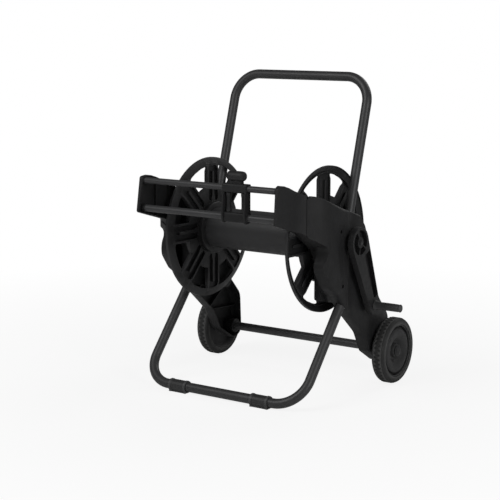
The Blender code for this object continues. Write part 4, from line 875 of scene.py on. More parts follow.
def rim_mesh():
    """Disc rim with a groove inside its lip, a raised band and a sunken hub."""
    low, high = WHEEL_INNER_FACE, WHEEL_OUTER_FACE
    hub = WHEEL_HUB_RADIUS
    bore = around(AXLE_RADIUS, RUNNING_GAP, WHEEL_SIDES)
    rim = nested(WHEEL_RADIUS - TYRE_HEIGHT, GAP, WHEEL_SIDES)
    back = high - RIM_DEPTH
    profile = [
        (low + CHAMFER, bore), (low + CHAMFER, hub - CHAMFER), (low + 2 * CHAMFER, hub), (back - 0.003, hub),
        (back, hub + 0.003), (back, rim - 0.012), (back - 0.002, rim - 0.008), (low + 0.005, rim - 0.002),
        (low + 0.004, rim),
    ]
    profile += [(high - sunk, rim - inward) for sunk, inward in RIM_FACE]
    profile += [(high - sunk, hub + outward) for sunk, outward in HUB_FACE]
    profile.append((high - HUB_FACE[-1][0], bore))
    return turned(profile, WHEEL_SIDES, WHEEL_AXIS)


def build_wheels():
    """Rim, tyre and push-on cap of each wheel."""
    cap_radius = nested(AXLE_RADIUS - AXLE_WALL, GAP, MIDDLING)
    cap_profile = [(AXLE_END - CAP_PLUG, cap_radius), (AXLE_END + GAP, cap_radius)]
    cap_profile += [(AXLE_END + along, WHEEL_CAP_RADIUS - inward) for along, inward in CAP_FACE]
    for name, side in SIDES:
        body = "wheel_" + name
        origin = (side * WHEEL_MIDDLE, *WHEEL_AXIS)
        add_piece("tyre_" + name, sided(tread_mesh(), side), "rubber", body, origin)
        add_piece("wheel_rim_" + name, sided(rim_mesh(), side), "wheel", body, origin)
        cap = turned_solid(cap_profile, MIDDLING, WHEEL_AXIS)
        add_piece("axle_cap_" + name, sided(cap, side), "grip", "frame", (side * AXLE_END, *WHEEL_AXIS))


# Drum

def side_place(along, across, angle):
    """Place in the side view, from polar steps around the drum's axis."""
    sine, cosine = math.sin(angle), math.cos(angle)
    return (along * sine + across * cosine, AXIS_HEIGHT + along * cosine - across * sine)


def spoke_bar(angle, low, high):
    """Solid bar of a spoke, from the core to the ring, with sloping outer ends."""
    start = CORE_RADIUS + GAP
    ring = FLANGE_RADIUS - RING_WIDTH
    slope = ring - SPOKE_SLOPE
    profile = [(low, start), (low, slope), (FLANGE_MIDDLE, ring + SPOKE_TIP), (high, slope), (high, start)]
    bar = prism(profile, -SPOKE_WIDTH / 2, SPOKE_WIDTH / 2, "Y")
    turn = Matrix.Translation((0.0, *DRUM_AXIS)) @ Matrix.Rotation(-angle, 4, "X")
    bmesh.ops.transform(bar, matrix=turn, verts=bar.verts)
    return bar


def spoke_pocket(angle, low, high):
    """Long pocket between the edge ribs of a spoke, with round corners."""
    half = SPOKE_WIDTH / 2 - SPOKE_RIB
    start, end = GROOVE_START, FLANGE_RADIUS - RING_WIDTH - POCKET_STOP
    corners = []
    for along, across in ((start, -half), (end, -half), (end, half), (start, half)):
        corners.append((*side_place(along, across, angle), 0.45 * half))
    return prism(rounded(corners), low, high)


def spoke_rib(angle, low, high):
    """Rib along the middle of a spoke, which ends short of the ring."""
    half = 0.75 * SPOKE_RIB
    edge = (
        (CORE_RADIUS + GAP, 2 * half, 0), (GROOVE_START + 0.008, 2 * half, 0.004),
        (GROOVE_START + 0.020, half, 0.008), (FLANGE_RADIUS - RING_WIDTH - SPOKE_RIB_STOP, half, half),
    )
    corners = [(*side_place(along, -across, angle), radius) for along, across, radius in edge]
    corners += [(*side_place(along, across, angle), radius) for along, across, radius in reversed(edge)]
    return prism(rounded(corners), low, high)


def window(angle):
    """Opening between two spokes, with round corners."""
    inner = HUB_DISC_RADIUS + WINDOW_LEDGE
    outer = FLANGE_RADIUS - RING_WIDTH - WINDOW_LEDGE / 2
    half = SPOKE_WIDTH / 2 - GAP
    pitch = math.pi / SPOKE_COUNT
    corners = []
    for radius, fillet, steps in ((inner, 0.007, 2), (outer, 0.010, 3)):
        reach = pitch - math.asin(half / radius)
        arc = []
        for i in range(steps + 1):
            turn = angle - reach + 2 * reach * i / steps
            arc.append((*side_place(radius, 0.0, turn), fillet if i in (0, steps) else 0.0))
        corners += arc if radius == inner else list(reversed(arc))
    return through(rounded(corners))


def build_flange(side):
    """Spoked flange: a dished ring with a lip, ribbed spokes, a hub disc and a collar round the core."""
    low, high = FLANGE_INNER_FACE, FLANGE_OUTER_FACE
    web_low = FLANGE_MIDDLE - FLANGE_WALL / 2
    web_high = FLANGE_MIDDLE + FLANGE_WALL / 2
    inner = FLANGE_RADIUS - RING_WIDTH
    rim_low = web_low + RING_DISH
    bore = around(SHAFT_RADIUS, GAP, FINE)
    spigot = nested(CORE_RADIUS - CORE_WALL, GAP, FINE)
    core = around(CORE_RADIUS, GAP, FINE)
    disc = HUB_DISC_RADIUS + WINDOW_LEDGE
    collar = core + COLLAR_WIDTH
    ledge = web_low + RING_THICKNESS + RING_LEDGE
    body = turned([
        (FLANGE_HUB_END, bore), (FLANGE_HUB_END, FLANGE_HUB_RADIUS), (web_high, FLANGE_HUB_RADIUS),
        (web_high, core), (high, core), (high, disc), (web_high, disc),
        (web_high, inner), (ledge, inner), (ledge, inner + FLANGE_WALL),
        (web_low + RING_THICKNESS, inner + FLANGE_WALL),
        (rim_low + RING_THICKNESS, FLANGE_RADIUS - FLANGE_WALL),
        (rim_low + RING_THICKNESS + RIM_LIP, FLANGE_RADIUS - FLANGE_WALL),
        (rim_low + RING_THICKNESS + RIM_LIP, FLANGE_RADIUS), (rim_low, FLANGE_RADIUS), (web_low, inner),
        (web_low, disc), (low, disc), (low, collar), (low - COLLAR_REACH + CHAMFER, collar),
        (low - COLLAR_REACH, collar - CHAMFER), (low - COLLAR_REACH, core), (web_low, core),
        (web_low, spigot), (low - SPIGOT_LENGTH, spigot), (low - SPIGOT_LENGTH, spigot - FLANGE_WALL),
        (web_low, spigot - FLANGE_WALL), (web_low, bore),
    ], FINE, DRUM_AXIS)
    pitch = 2 * math.pi / SPOKE_COUNT
    body = cut(body, *[window((index + 0.5) * pitch) for index in range(SPOKE_COUNT)])
    bars = []
    pockets = []
    ribs = []
    inner_floor, outer_floor = low + POCKET_DEPTH, high - OUTER_POCKET_DEPTH
    for index in range(SPOKE_COUNT):
        angle = index * pitch
        bars.append(spoke_bar(angle, low, high))
        pockets.append(spoke_pocket(angle, low - PAST, inner_floor))
        pockets.append(spoke_pocket(angle, outer_floor, high + PAST))
        ribs.append(spoke_rib(angle, low + GAP, high - GAP))
    return sided(joined(cut(joined(body, *bars), *pockets), *ribs), side)


def build_drum():
    """Flanges, core and shafts."""
    for name, side in SIDES:
        origin = (side * FLANGE_MIDDLE, *DRUM_AXIS)
        add_piece("drum_flange_" + name, build_flange(side), "drum", "drum", origin)
    end = FLANGE_MIDDLE - FLANGE_WALL / 2 - GAP
    core = pipe(-end, end, CORE_RADIUS - CORE_WALL, CORE_RADIUS, FINE, DRUM_AXIS)
    core = cut(core, hole_rod(OUTLET_RADIUS, GAP, 0.0, CORE_RADIUS + 0.035, OUTLET_AXIS, SMALL, "Y"))
    add_piece("drum_core", core, "drum", "drum", (0, *DRUM_AXIS))

    square = SHAFT_SQUARE / 2
    stub = rod(SHAFT_RADIUS, CRANK_SHAFT_INNER_END, CRANK_INNER_FACE - GAP, DRUM_AXIS)
    key = block(
        (CRANK_SHAFT_INNER_END + PAST, -square, AXIS_HEIGHT - square),
        (CRANK_OUTER_FACE - CRANK_CAP - GAP, square, AXIS_HEIGHT + square),
    )
    thread_start = CRANK_OUTER_FACE - CRANK_SCREW_LENGTH - 2 * CHAMFER
    thread = hole_rod(SCREW_SHANK, GAP, thread_start, CRANK_OUTER_FACE + PAST, DRUM_AXIS, TINY)
    shaft = cut(joined(stub, key), thread)
    add_piece("crank_shaft", shaft, "steel", "drum", (CRANK_INNER_FACE, *DRUM_AXIS))

    water = pipe(
        -WATER_SHAFT_OUTER_END, -WATER_SHAFT_INNER_END, WATER_BORE, SHAFT_RADIUS, ROUND, DRUM_AXIS,
    )
    add_piece("water_shaft", water, "drum", "drum", (-FLANGE_MIDDLE, *DRUM_AXIS))


def build_outlet():
    """Elbow that leads the water from the hollow shaft out through the core."""
    start, end = -WATER_SHAFT_INNER_END, -OUTLET_X
    radius = SHAFT_RADIUS + OUTLET_SLEEVE_WALL
    level = rod(radius, start - 0.022, end + OUTLET_RADIUS, DRUM_AXIS, sides=MIDDLING)
    tip = CORE_RADIUS + 0.018
    branch = rod(OUTLET_RADIUS, 0.0, tip, OUTLET_AXIS, "Y", SMALL)
    nut = rod(OUTLET_RADIUS + OUTLET_NUT_WALL, tip - 0.010, tip + 0.004, OUTLET_AXIS, "Y", 6)
    socket = hole_rod(SHAFT_RADIUS, GAP, start - 0.03, start + GAP, DRUM_AXIS, MIDDLING)
    way = rod(WATER_BORE, start - CHAMFER, end, DRUM_AXIS, sides=TINY)
    mouth = rod(WATER_BORE, -WATER_BORE / 2, tip + PAST, OUTLET_AXIS, "Y", TINY)
    elbow = cut(joined(level, branch, nut), socket, way, mouth)
    add_piece("outlet_elbow", elbow, "brass", "drum", (-OUTLET_X, *DRUM_AXIS))


def build_bushes():
    """Flanged bushes that the shafts turn in."""
    bore = around(SHAFT_RADIUS, RUNNING_GAP, ROUND)
    end = FRAME_OUTER_FACE - 0.004
    collar = BUSH_START + BUSH_COLLAR_THICKNESS
    profile = [
        (BUSH_START, bore), (BUSH_START, BUSH_COLLAR_RADIUS), (collar, BUSH_COLLAR_RADIUS),
        (collar, BUSH_RADIUS), (end, BUSH_RADIUS), (end, bore),
    ]
    for name, side in SIDES:
        bush = turned(profile, ROUND, DRUM_AXIS)
        add_piece("bearing_bush_" + name, sided(bush, side), "bush", "frame", (side * BUSH_START, *DRUM_AXIS))


# Side housings

def frame_outline():
    """Side view of the inner shell: guide arm in front, handle socket behind."""
    top = HANDLE_END_Z + 0.078
    tube = handle_y(top)
    socket = TUBE_RADIUS + 0.0155
    return rounded([
        (ARM_TIP_Y + 0.018, UPPER_RAIL_Z + 0.012, 0.008),
        (ARM_TIP_Y, LOWER_RAIL_Z - 0.010, 0.008),
        (ARM_TIP_Y + 0.050, LOWER_RAIL_Z - 0.025, 0.030),
        (ARM_TIP_Y + 0.130, LOWER_RAIL_Z - 0.048, 0.040),
        (-0.108, AXIS_HEIGHT - 0.018, 0.020),
        (FRAME_FRONT_Y, 0.420, 0.020),
        (FRAME_FRONT_Y, 0.306, 0.010),
        (0.020, 0.280, 0.020),
        (0.138, 0.256, 0.025),
        (0.150, 0.400, 0.060),
        (tube + socket, top - 0.010, 0.030),
        (tube + socket, top + 0.042, 0.006),
        (tube + 0.006, top + 0.042, 0.005),
        (tube - 0.002, top - 0.004, 0.002),
        (-0.040, top + 0.036, 0.040),
        (-0.150, top + 0.070, 0.050),
        (ARM_TIP_Y + 0.075, UPPER_RAIL_Z + 0.006, 0.030),
        (ARM_TIP_Y + 0.045, UPPER_RAIL_Z + 0.015, 0.015),
    ])


def cover_outline(front):
    """Side view of the cover: shoulder of the arm, rounded cheek and wheel leg."""
    boss = AXLE_BOSS_RADIUS + 0.0115
    top = HANDLE_END_Z + 0.078
    slope = (0.020 + 0.035) / 0.110
    return rounded([
        (front, top + 0.070 - slope * (front + 0.150), 0.014),
        (front, AXIS_HEIGHT + 0.035, 0.014),
        (-0.124, AXIS_HEIGHT - 0.008, 0.020),
        (-0.157, 0.418, 0.040),
        (-0.106, 0.350, 0.030),
        (-0.064, 0.322, 0.030),
        (-0.018, 0.272, 0.040),
        (0.090, 0.180, 0.060),
        (0.128, 0.112, 0.020),
        (WHEEL_Y - 0.014, WHEEL_RADIUS - boss - 0.004, 0.022),
        (WHEEL_Y + boss - 0.002, WHEEL_RADIUS - boss + 0.008, 0.030),
        (WHEEL_Y + 0.026, 0.215, 0.050),
        (0.180, 0.285, 0.060),
        (0.120, 0.450, 0.060),
        (0.090, 0.520, 0.020),
        (0.062, top + 0.002, 0.020),
        (-0.040, top + 0.034, 0.040),
    ])


def outside(depth=0.0):
    """Everything further out than the side surface, which swells from the arm to the cheek."""
    low, high = ARM_OUTER_FACE, COVER_OUTER_FACE
    back = high - GROOVE_STEP / 2
    plan = [
        (low, -CUT_Y), (low, -0.232), (low + 0.004, -0.212), (low + 0.015, -0.192),
        (low + 0.031, -0.174), (low + 0.045, -0.158), (high - GROOVE_STEP, -0.138),
        (high - 0.0015, DIVIDER_Y), (high, -0.030), (high - 0.002, -0.017),
        (high - GROOVE_STEP, -0.009), (high - GROOVE_STEP, 0.006), (back, 0.030), (back, CUT_Y),
    ]
    outline = [(x - depth, y) for x, y in plan]
    return prism(outline + [(CUT_X, CUT_Y), (CUT_X, -CUT_Y)], *CUT_Z, "Z")


def tube_hole(low_z, high_z, y_of, x):
    """Straight cylinder along a leaning tube, for the hole that it passes."""
    low = Vector((x, y_of(low_z), low_z))
    high = Vector((x, y_of(high_z), high_z))
    return slanted_rod(around(TUBE_RADIUS, GAP, SMALL), low, high, SMALL)


# Places in the side view: screws, and the two ends of each rib
SCREW_PLACES = ((-0.062, 0.520), (-0.050, 0.352), (0.118, 0.360))
FRAME_RIBS = (
    ((0.0, AXIS_HEIGHT + 0.020), (-0.030, 0.585)),
    ((-0.010, AXIS_HEIGHT - 0.020), (-0.082, 0.350)),
    ((0.010, AXIS_HEIGHT - 0.020), (0.138, 0.310)),
)
COVER_RIBS = (
    ((0.010, 0.252), (0.200, 0.262)), ((0.085, 0.180), (0.200, 0.262)),
    ((0.085, 0.180), (0.245, 0.170)), ((0.020, 0.250), (0.150, 0.340)),
)
ARM_RIBS = (0.085, 0.150)


def frame_body():
    """Inner shell before its bosses: thin arm, deeper body, open hollows."""
    low, high = FRAME_INNER_FACE, FRAME_OUTER_FACE
    outline = frame_outline()
    behind_cover = prism(cover_outline(ARM_TIP_Y + 0.080), low, high + PAST)
    deep = shared(prism(outline, ARM_OUTER_FACE - ARM_WALL, high), behind_cover)
    plate = prism(outline, low, ARM_OUTER_FACE + ARM_OVERLAP)
    tip = [
        (low - ARM_CHAMFER, ARM_TIP_Y + 2 * ARM_CHAMFER_LENGTH),
        (low + 2 * ARM_CHAMFER, ARM_TIP_Y - ARM_CHAMFER_LENGTH),
        (low - ARM_CHAMFER, ARM_TIP_Y - ARM_CHAMFER_LENGTH),
    ]
    shell = cut(joined(plate, deep), outside(), prism(tip, *CUT_Z, "Z"))
    hollow = inset(outline, HOUSING_WALL)
    covered = inset(cover_outline(COVER_FRONT_Y), HOUSING_WALL)
    divider = DIVIDER_Y - HOUSING_WALL
    arm_pocket = shared(prism(hollow, low - PAST, ARM_OUTER_FACE - ARM_WALL), ahead_of(divider))
    back_block = block((BLOCK_LOW[0], DIVIDER_Y, BLOCK_LOW[2]), (*BLOCK_HIGH[:2], HANDLE_END_Z + 0.070))
    body_pocket = shared(prism(hollow, low + HOUSING_WALL, high + PAST), through(covered), back_block)
    shoulder = prism(hollow, ARM_OUTER_FACE + 2 * ARM_OVERLAP, high + PAST)
    return cut(shell, arm_pocket, body_pocket, shared(shoulder, through(covered), ahead_of(divider)))


def build_frame(side):
    """Inner shell of a side housing, with the guide arm."""
    low, high = FRAME_INNER_FACE, FRAME_OUTER_FACE
    floor, rib_face = low + CHAMFER, high - RIB_RECESS
    extras = [rod(BUSH_RADIUS + GAP + BEARING_BOSS_WALL, floor, rib_face, DRUM_AXIS)]
    for place in SCREW_PLACES:
        extras.append(rod(SCREW_BOSS, floor, high - 0.0005, place, sides=TINY))
    for start, end in FRAME_RIBS:
        extras.append(rib_between(start, end, floor, rib_face))
    for z in (HANDLE_END_Z - RIB_WALL / 2, HANDLE_END_Z + 0.035):
        extras.append(rib_across(handle_y(z), z, HANDLE_LEAN, 0.020, 0.028, floor, rib_face))
    for along in ARM_RIBS:
        start = (ARM_TIP_Y + along, LOWER_RAIL_Z - 0.060)
        end = (ARM_TIP_Y + along, UPPER_RAIL_Z + 0.020)
        rib = rib_between(start, end, low + ARM_DEPTH / 2, ARM_OUTER_FACE - CHAMFER)
        extras.append(shared(rib, through(inset(frame_outline(), HOUSING_WALL / 2))))
    for _, z, radius in RAILS:
        extras.append(rod(radius + 0.002, low + 0.006, ARM_OUTER_FACE - CHAMFER, (RAIL_Y, z), sides=SMALL))
    shell = joined(frame_body(), *extras)

    cutters = [
        hole_rod(BUSH_RADIUS, GAP, low - PAST, high + PAST, DRUM_AXIS, ROUND),
        tube_hole(HANDLE_END_Z - GAP, HANDLE_END_Z + 0.20, handle_y, HANDLE_HALF_WIDTH),
    ]
    for _, z, radius in RAILS:
        cutters.append(hole_rod(radius, GAP, low - PAST, low + RAIL_SOCKET_DEPTH, (RAIL_Y, z), SMALL))
    for place in SCREW_PLACES:
        cutters.append(hole_rod(SCREW_SHANK, GAP, low + 0.012, high + PAST, place, TINY))
    return sided(cut(shell, *cutters), side)


def cover_body():
    """Outer shell before its bosses: crowned face, thin wall, open back."""
    low, high = COVER_INNER_FACE, COVER_OUTER_FACE
    outline = cover_outline(COVER_FRONT_Y)
    wall = HOUSING_WALL
    body = lofted([
        (low, outline), (high - 0.012, outline), (high - 0.004, inset(outline, 0.004)),
        (high, inset(outline, 0.011)),
    ])
    pocket = lofted([
        (low - PAST, inset(outline, wall)), (high - 0.013, inset(outline, wall)),
        (high - wall, inset(outline, wall + 0.007)),
    ])
    return cut(cut(body, outside()), cut(pocket, outside(wall)))


def build_cover(side):
    """Outer shell of a side housing, with the leg that holds the axle."""
    low, high = COVER_INNER_FACE, COVER_OUTER_FACE
    ribs = [rib_between(start, end, low + COVER_DEPTH / 2, high) for start, end in COVER_RIBS]
    for z in (LEG_END_Z + RIB_WALL / 2, LEG_END_Z - 0.065):
        ribs.append(rib_across(leg_y(z), z, LEG_LEAN, 0.022, 0.022, low + RIB_RECESS, high))
    for place in SCREW_PLACES:
        ribs.append(rod(SCREW_BOSS + 0.0015, low + 0.0005, high, place, sides=TINY))
    outline = cover_outline(COVER_FRONT_Y)
    half_wall = HOUSING_WALL / 2
    inner = lofted([
        (low, inset(outline, half_wall)), (high - 0.013, inset(outline, half_wall)),
        (high - CHAMFER, inset(outline, half_wall + 0.008)),
    ])
    stiffening = shared(cut(joined(*ribs), outside(half_wall)), inner)
    axle_boss = rod(AXLE_BOSS_RADIUS, low, WHEEL_INNER_FACE - SIDE_PLAY, WHEEL_AXIS, sides=MIDDLING)
    shaft_boss = rod(COVER_BOSS_RADIUS, high - 0.012, COVER_BOSS_FACE, DRUM_AXIS)
    body = joined(cover_body(), stiffening, axle_boss, shaft_boss)

    cutters = [
        hole_rod(AXLE_RADIUS, GAP, low - PAST, WHEEL_INNER_FACE + PAST, WHEEL_AXIS, MIDDLING),
        hole_rod(SHAFT_RADIUS, SHAFT_CLEARANCE, low - PAST, COVER_BOSS_FACE + PAST, DRUM_AXIS, ROUND),
        tube_hole(BAR_HEIGHT, LEG_END_Z + GAP, leg_y, LEG_HALF_WIDTH),
    ]
    for place in SCREW_PLACES:
        cutters.append(hole_rod(SCREW_SHANK, GAP, low - PAST, high + PAST, place, TINY))
        cutters.append(hole_rod(SCREW_HEAD, GAP, SCREW_SEAT - GAP, high + PAST, place, TINY))
    return sided(cut(body, *cutters), side)


def build_housings():
    """Both shells of both housings, and their screws."""
    profile = [
        (FRAME_INNER_FACE + 0.016, SCREW_SHANK), (SCREW_SEAT, SCREW_SHANK),
        (SCREW_SEAT, SCREW_HEAD), (SCREW_SEAT + SCREW_HEAD_HEIGHT, SCREW_HEAD),
    ]
    for name, side in SIDES:
        origin = (side * FRAME_INNER_FACE, *DRUM_AXIS)
        add_piece("side_frame_" + name, build_frame(side), "housing", "frame", origin)
        origin = (side * PARTING_PLANE, *DRUM_AXIS)
        add_piece("side_cover_" + name, build_cover(side), "housing", "frame", origin)
        for number, place in enumerate(SCREW_PLACES, 1):
            screw = sided(turned_solid(profile, TINY, place), side)
            origin = (side * SCREW_SEAT, *place)
            add_piece("cover_screw_%s_%d" % (name, number), screw, "screw", "frame", origin)


# Crank

def crank_point(along, across):
    """Place in the side view from a distance along the crank and one across it."""
    sine, cosine = math.sin(CRANK_ANGLE), math.cos(CRANK_ANGLE)
    return (along * sine + across * cosine, AXIS_HEIGHT - along * cosine + across * sine)


def crank_outline():
    """Tapering arm between a large hub and a small end."""
    outline = []
    for along, radius, middle, reach, steps in (
        (0.0, CRANK_HUB_RADIUS, math.pi, math.pi / 2 + CRANK_TAPER, 10),
        (CRANK_LENGTH, CRANK_END_RADIUS, 0.0, math.pi / 2 - CRANK_TAPER, 6),
    ):
        for i in range(steps + 1):
            angle = middle - reach + 2 * reach * i / steps
            outline.append(crank_point(along + radius * math.cos(angle), radius * math.sin(angle)))
    return outline


def hub_pockets():
    """Outlines of the openings between the ribs of the crank's hub."""
    inner, outer = CRANK_BOSS_RADIUS, CRANK_HUB_RADIUS - CRANK_HUB_WALL
    down = math.atan2(-math.cos(CRANK_ANGLE), math.sin(CRANK_ANGLE))
    rib = math.radians(9)
    spread = math.radians(28)
    return [
        sector(near, outer, down + start, down + end, 0.003, DRUM_AXIS)
        for near, start, end in (
            (inner, spread + rib, math.pi - rib), (inner, math.pi + rib, 2 * math.pi - spread - rib),
            (inner + CHAMFER, -spread, spread),
        )
    ]


def channel_outline():
    """Outline of the channel along one half of the crank."""
    start, end = CRANK_HUB_RADIUS + CRANK_WALL / 2, CRANK_LENGTH - CHANNEL_STOP
    corners = []
    for along, share in ((start, CHANNEL_SHARE), (end, CHANNEL_SHARE), (end, 1), (start, 1)):
        half = (CRANK_HUB_RADIUS - along * math.sin(CRANK_TAPER)) / math.cos(CRANK_TAPER) - CRANK_WALL
        corners.append((*crank_point(along, share * half), 0.006))
    return rounded(corners)


def build_crank():
    """Crank arm with open pockets, and the screw that holds it."""
    low, high = CRANK_INNER_FACE, CRANK_OUTER_FACE
    outline = crank_outline()
    arm = lofted([
        (low, inset(outline, 1.5 * CHAMFER)), (low + 2 * CHAMFER, outline), (high, inset(outline, CHAMFER)),
    ])
    cutters = [
        prism(pocket, low + CRANK_FLOOR, high + PAST) for pocket in hub_pockets() + [channel_outline()]
    ]
    square = SHAFT_SQUARE / 2 + GAP
    cutters.append(block(
        (low - PAST, -square, AXIS_HEIGHT - square), (high - CRANK_CAP, square, AXIS_HEIGHT + square),
    ))
    cutters.append(hole_rod(SCREW_SHANK, GAP, low, high + PAST, DRUM_AXIS, TINY))
    cutters.append(hole_rod(SPINDLE_RADIUS, GAP, low - PAST, high + PAST, GRIP_AXIS, SMALL))
    add_piece("crank_arm", cut(arm, *cutters), "housing", "drum", (low, *DRUM_AXIS))

    head = SCREW_HEAD + 0.002
    screw = turned_solid([
        (high - CRANK_SCREW_LENGTH, SCREW_SHANK), (high + GAP, SCREW_SHANK), (high + GAP, head),
        (high + 0.003, head), (high + 0.0042, SCREW_HEAD),
    ], TINY, DRUM_AXIS)
    add_piece("crank_screw", screw, "screw", "drum", (high, *DRUM_AXIS))


def build_grip():
    """Grip that turns on its spindle at the end of the crank."""
    cap = GRIP_END + SIDE_PLAY
    spindle = turned_solid([
        (CRANK_INNER_FACE, SPINDLE_RADIUS), (cap, SPINDLE_RADIUS), (cap, GRIP_RADIUS),
        (CRANK_TIP - 0.0012, GRIP_RADIUS), (CRANK_TIP, GRIP_RADIUS - 0.0015),
    ], SMALL, GRIP_AXIS)
    add_piece("grip_spindle", spindle, "handhold", "drum", (CRANK_OUTER_FACE, *GRIP_AXIS))
    bore = around(SPINDLE_RADIUS, RUNNING_GAP, MIDDLING)
    swells = ((0.0, 1.27), (0.08, 1.2), (0.17, 0.97), (0.5, 1.0), (0.94, 0.98), (1.0, 0.92))
    profile = [(GRIP_START + share * GRIP_LENGTH, swell * GRIP_RADIUS) for share, swell in swells]
    handle = turned([(GRIP_START, bore), *profile, (GRIP_END, bore)], MIDDLING, GRIP_AXIS)
    add_piece("crank_grip", handle, "handhold", "grip", (GRIP_START, *GRIP_AXIS))


# Hose guide

def build_rails():
    """Two tubes between the guide arms."""
    end = FRAME_INNER_FACE + RAIL_SOCKET_DEPTH - GAP
    for name, z, radius in RAILS:
        tube = pipe(-end, end, radius - RAIL_WALL, radius, MIDDLING, (RAIL_Y, z))
        add_piece("guide_rail_" + name, tube, "rail", "frame", (0, RAIL_Y, z))


def roller_x(side):
    """Place of a roller along the rails."""
    return CARRIAGE_X + side * (CARRIAGE_WIDTH / 2 - PILLAR_WIDTH - ROLLER_RADIUS - 0.001)


def rounded_box(low, high, radius):
    """Outline of a rectangle between two corners, with round corners."""
    (u0, v0), (u1, v1) = low, high
    return rounded([(u0, v0, radius), (u1, v0, radius), (u1, v1, radius), (u0, v1, radius)])


def build_carriage():
    """Window frame that slides on both rails."""
    low, high = CARRIAGE_X - CARRIAGE_WIDTH / 2, CARRIAGE_X + CARRIAGE_WIDTH / 2
    solids = []
    cutters = []
    for _, z, radius in RAILS:
        reach = radius + CLAMP
        sleeve = rounded_box((RAIL_Y - reach, z - reach), (RAIL_Y + reach, z + reach), 0.006)
        solids.append(prism(sleeve, low, high))
        cutters.append(hole_rod(radius, RUNNING_GAP, low - PAST, high + PAST, (RAIL_Y, z), SMALL))
    plate = rounded([
        (RAIL_Y - 0.0125, UPPER_RAIL_Z - 0.004, 0.002), (RAIL_Y + 0.0115, UPPER_RAIL_Z - 0.004, 0.002),
        (RAIL_Y + 0.0115, LOWER_RAIL_Z, 0.002), (RAIL_Y + 0.004, LOWER_RAIL_Z - 0.017, 0.006),
        (RAIL_Y - 0.016, LOWER_RAIL_Z - 0.017, 0.006), (RAIL_Y - 0.020, LOWER_RAIL_Z + 0.008, 0.012),
    ])
    for start in (low, high - PILLAR_WIDTH):
        solids.append(prism(plate, start + PILLAR_INSET, start + PILLAR_WIDTH - PILLAR_INSET))
    neck = rounded_box((CARRIAGE_X - 0.013, RAIL_Y - 0.009), (CARRIAGE_X + 0.022, RAIL_Y + 0.009), 0.004)
    solids.append(prism(neck, UPPER_RAIL_Z + UPPER_RAIL_RADIUS + 0.002, NECK_TOP, "Z"))
    for _, side in SIDES:
        place = (roller_x(side), RAIL_Y)
        for z in (WINDOW_LOW - PIN_SOCKET, WINDOW_HIGH - CHAMFER):
            cutters.append(hole_rod(ROLLER_PIN_RADIUS, GAP, z, z + PIN_SOCKET + CHAMFER, place, TINY, "Z"))
    body = cut(joined(*solids), *cutters)
    add_piece("guide_carriage", body, "housing", "guide", (CARRIAGE_X, RAIL_Y, UPPER_RAIL_Z))


def build_rollers():
    """Upright rollers of the guide, on their pins."""
    foot, head = WINDOW_LOW - PIN_SOCKET + GAP, WINDOW_HIGH + PIN_SOCKET - GAP
    start, end = WINDOW_LOW + SIDE_PLAY / 2, WINDOW_HIGH - SIDE_PLAY / 2
    bore = around(ROLLER_PIN_RADIUS, RUNNING_GAP, SMALL)
    waist = ROLLER_RADIUS - 0.0012
    profile = [
        (start, bore), (start, ROLLER_RADIUS), (start + 0.007, ROLLER_RADIUS), (start + 0.013, waist),
        (end - 0.013, waist), (end - 0.007, ROLLER_RADIUS), (end, ROLLER_RADIUS), (end, bore),
    ]
    for name, side in SIDES:
        place = (roller_x(side), RAIL_Y)
        pin = rod(ROLLER_PIN_RADIUS, foot, head, place, "Z", TINY)
        add_piece("roller_pin_" + name, pin, "steel", "guide", (*place, WINDOW_LOW))
        roller = turned(profile, SMALL, place, "Z")
        add_piece("guide_roller_" + name, roller, "grip", "roller_" + name, (*place, (start + end) / 2))


def build_knob():
    """Clamping knob on the carriage's neck, a rounded bar with a flat foot."""
    foot = KNOB_RADIUS * KNOB_FOOT
    z = NECK_TOP + GAP + foot
    start = CARRIAGE_X + 0.030 - KNOB_LENGTH
    sizes = ((0.0, 0.74), (0.06, 0.93), (0.18, 1.0), (0.82, 1.0), (0.94, 0.93), (1.0, 0.74))
    profile = [(start + share * KNOB_LENGTH, KNOB_RADIUS * size) for share, size in sizes]
    knob = turned_solid(profile, MIDDLING, (RAIL_Y, z))
    base = block(
        (start - PAST, RAIL_Y - 2 * KNOB_RADIUS, z - 2 * KNOB_RADIUS),
        (start + KNOB_LENGTH + PAST, RAIL_Y + 2 * KNOB_RADIUS, z - foot),
    )
    add_piece("guide_knob", cut(knob, base), "grip", "guide", (CARRIAGE_X, RAIL_Y, z))


# Water inlet on the side away from the crank

def build_inlet():
    """Fixed elbow that feeds the turning hollow shaft."""
    face, middle = COVER_BOSS_FACE, COVER_BOSS_FACE + 0.022
    end = AXIS_HEIGHT - INLET_REACH
    place = (middle, 0.0)
    plate = rod(COVER_BOSS_RADIUS, face + GAP, face + 0.0045, DRUM_AXIS)
    neck = rod(INLET_RADIUS, face + 0.002, middle, DRUM_AXIS, sides=MIDDLING)
    nose = turned_solid([
        (SEAL_END - SEAL_SEAT, INLET_TIP), (SEAL_END, INLET_TIP), (SEAL_END, INLET_SPIGOT),
        (face + 0.003, INLET_SPIGOT),
    ], MIDDLING, DRUM_AXIS)
    branch = rod(INLET_RADIUS, end, AXIS_HEIGHT + INLET_RADIUS * 0.9, place, "Z", MIDDLING)
    collar = rod(INLET_RADIUS + 0.003, end + 0.010, end + 0.014, place, "Z", MIDDLING)
    way = rod(INLET_WAY, WATER_SHAFT_OUTER_END - 0.03, middle, DRUM_AXIS, sides=TINY)
    fall = rod(INLET_BORE, end - PAST, AXIS_HEIGHT + 0.004, place, "Z", SMALL)
    body = cut(joined(plate, neck, nose, branch, collar), way, fall)
    add_piece("water_inlet", mirrored(body), "brass", "frame", (-face, *DRUM_AXIS))


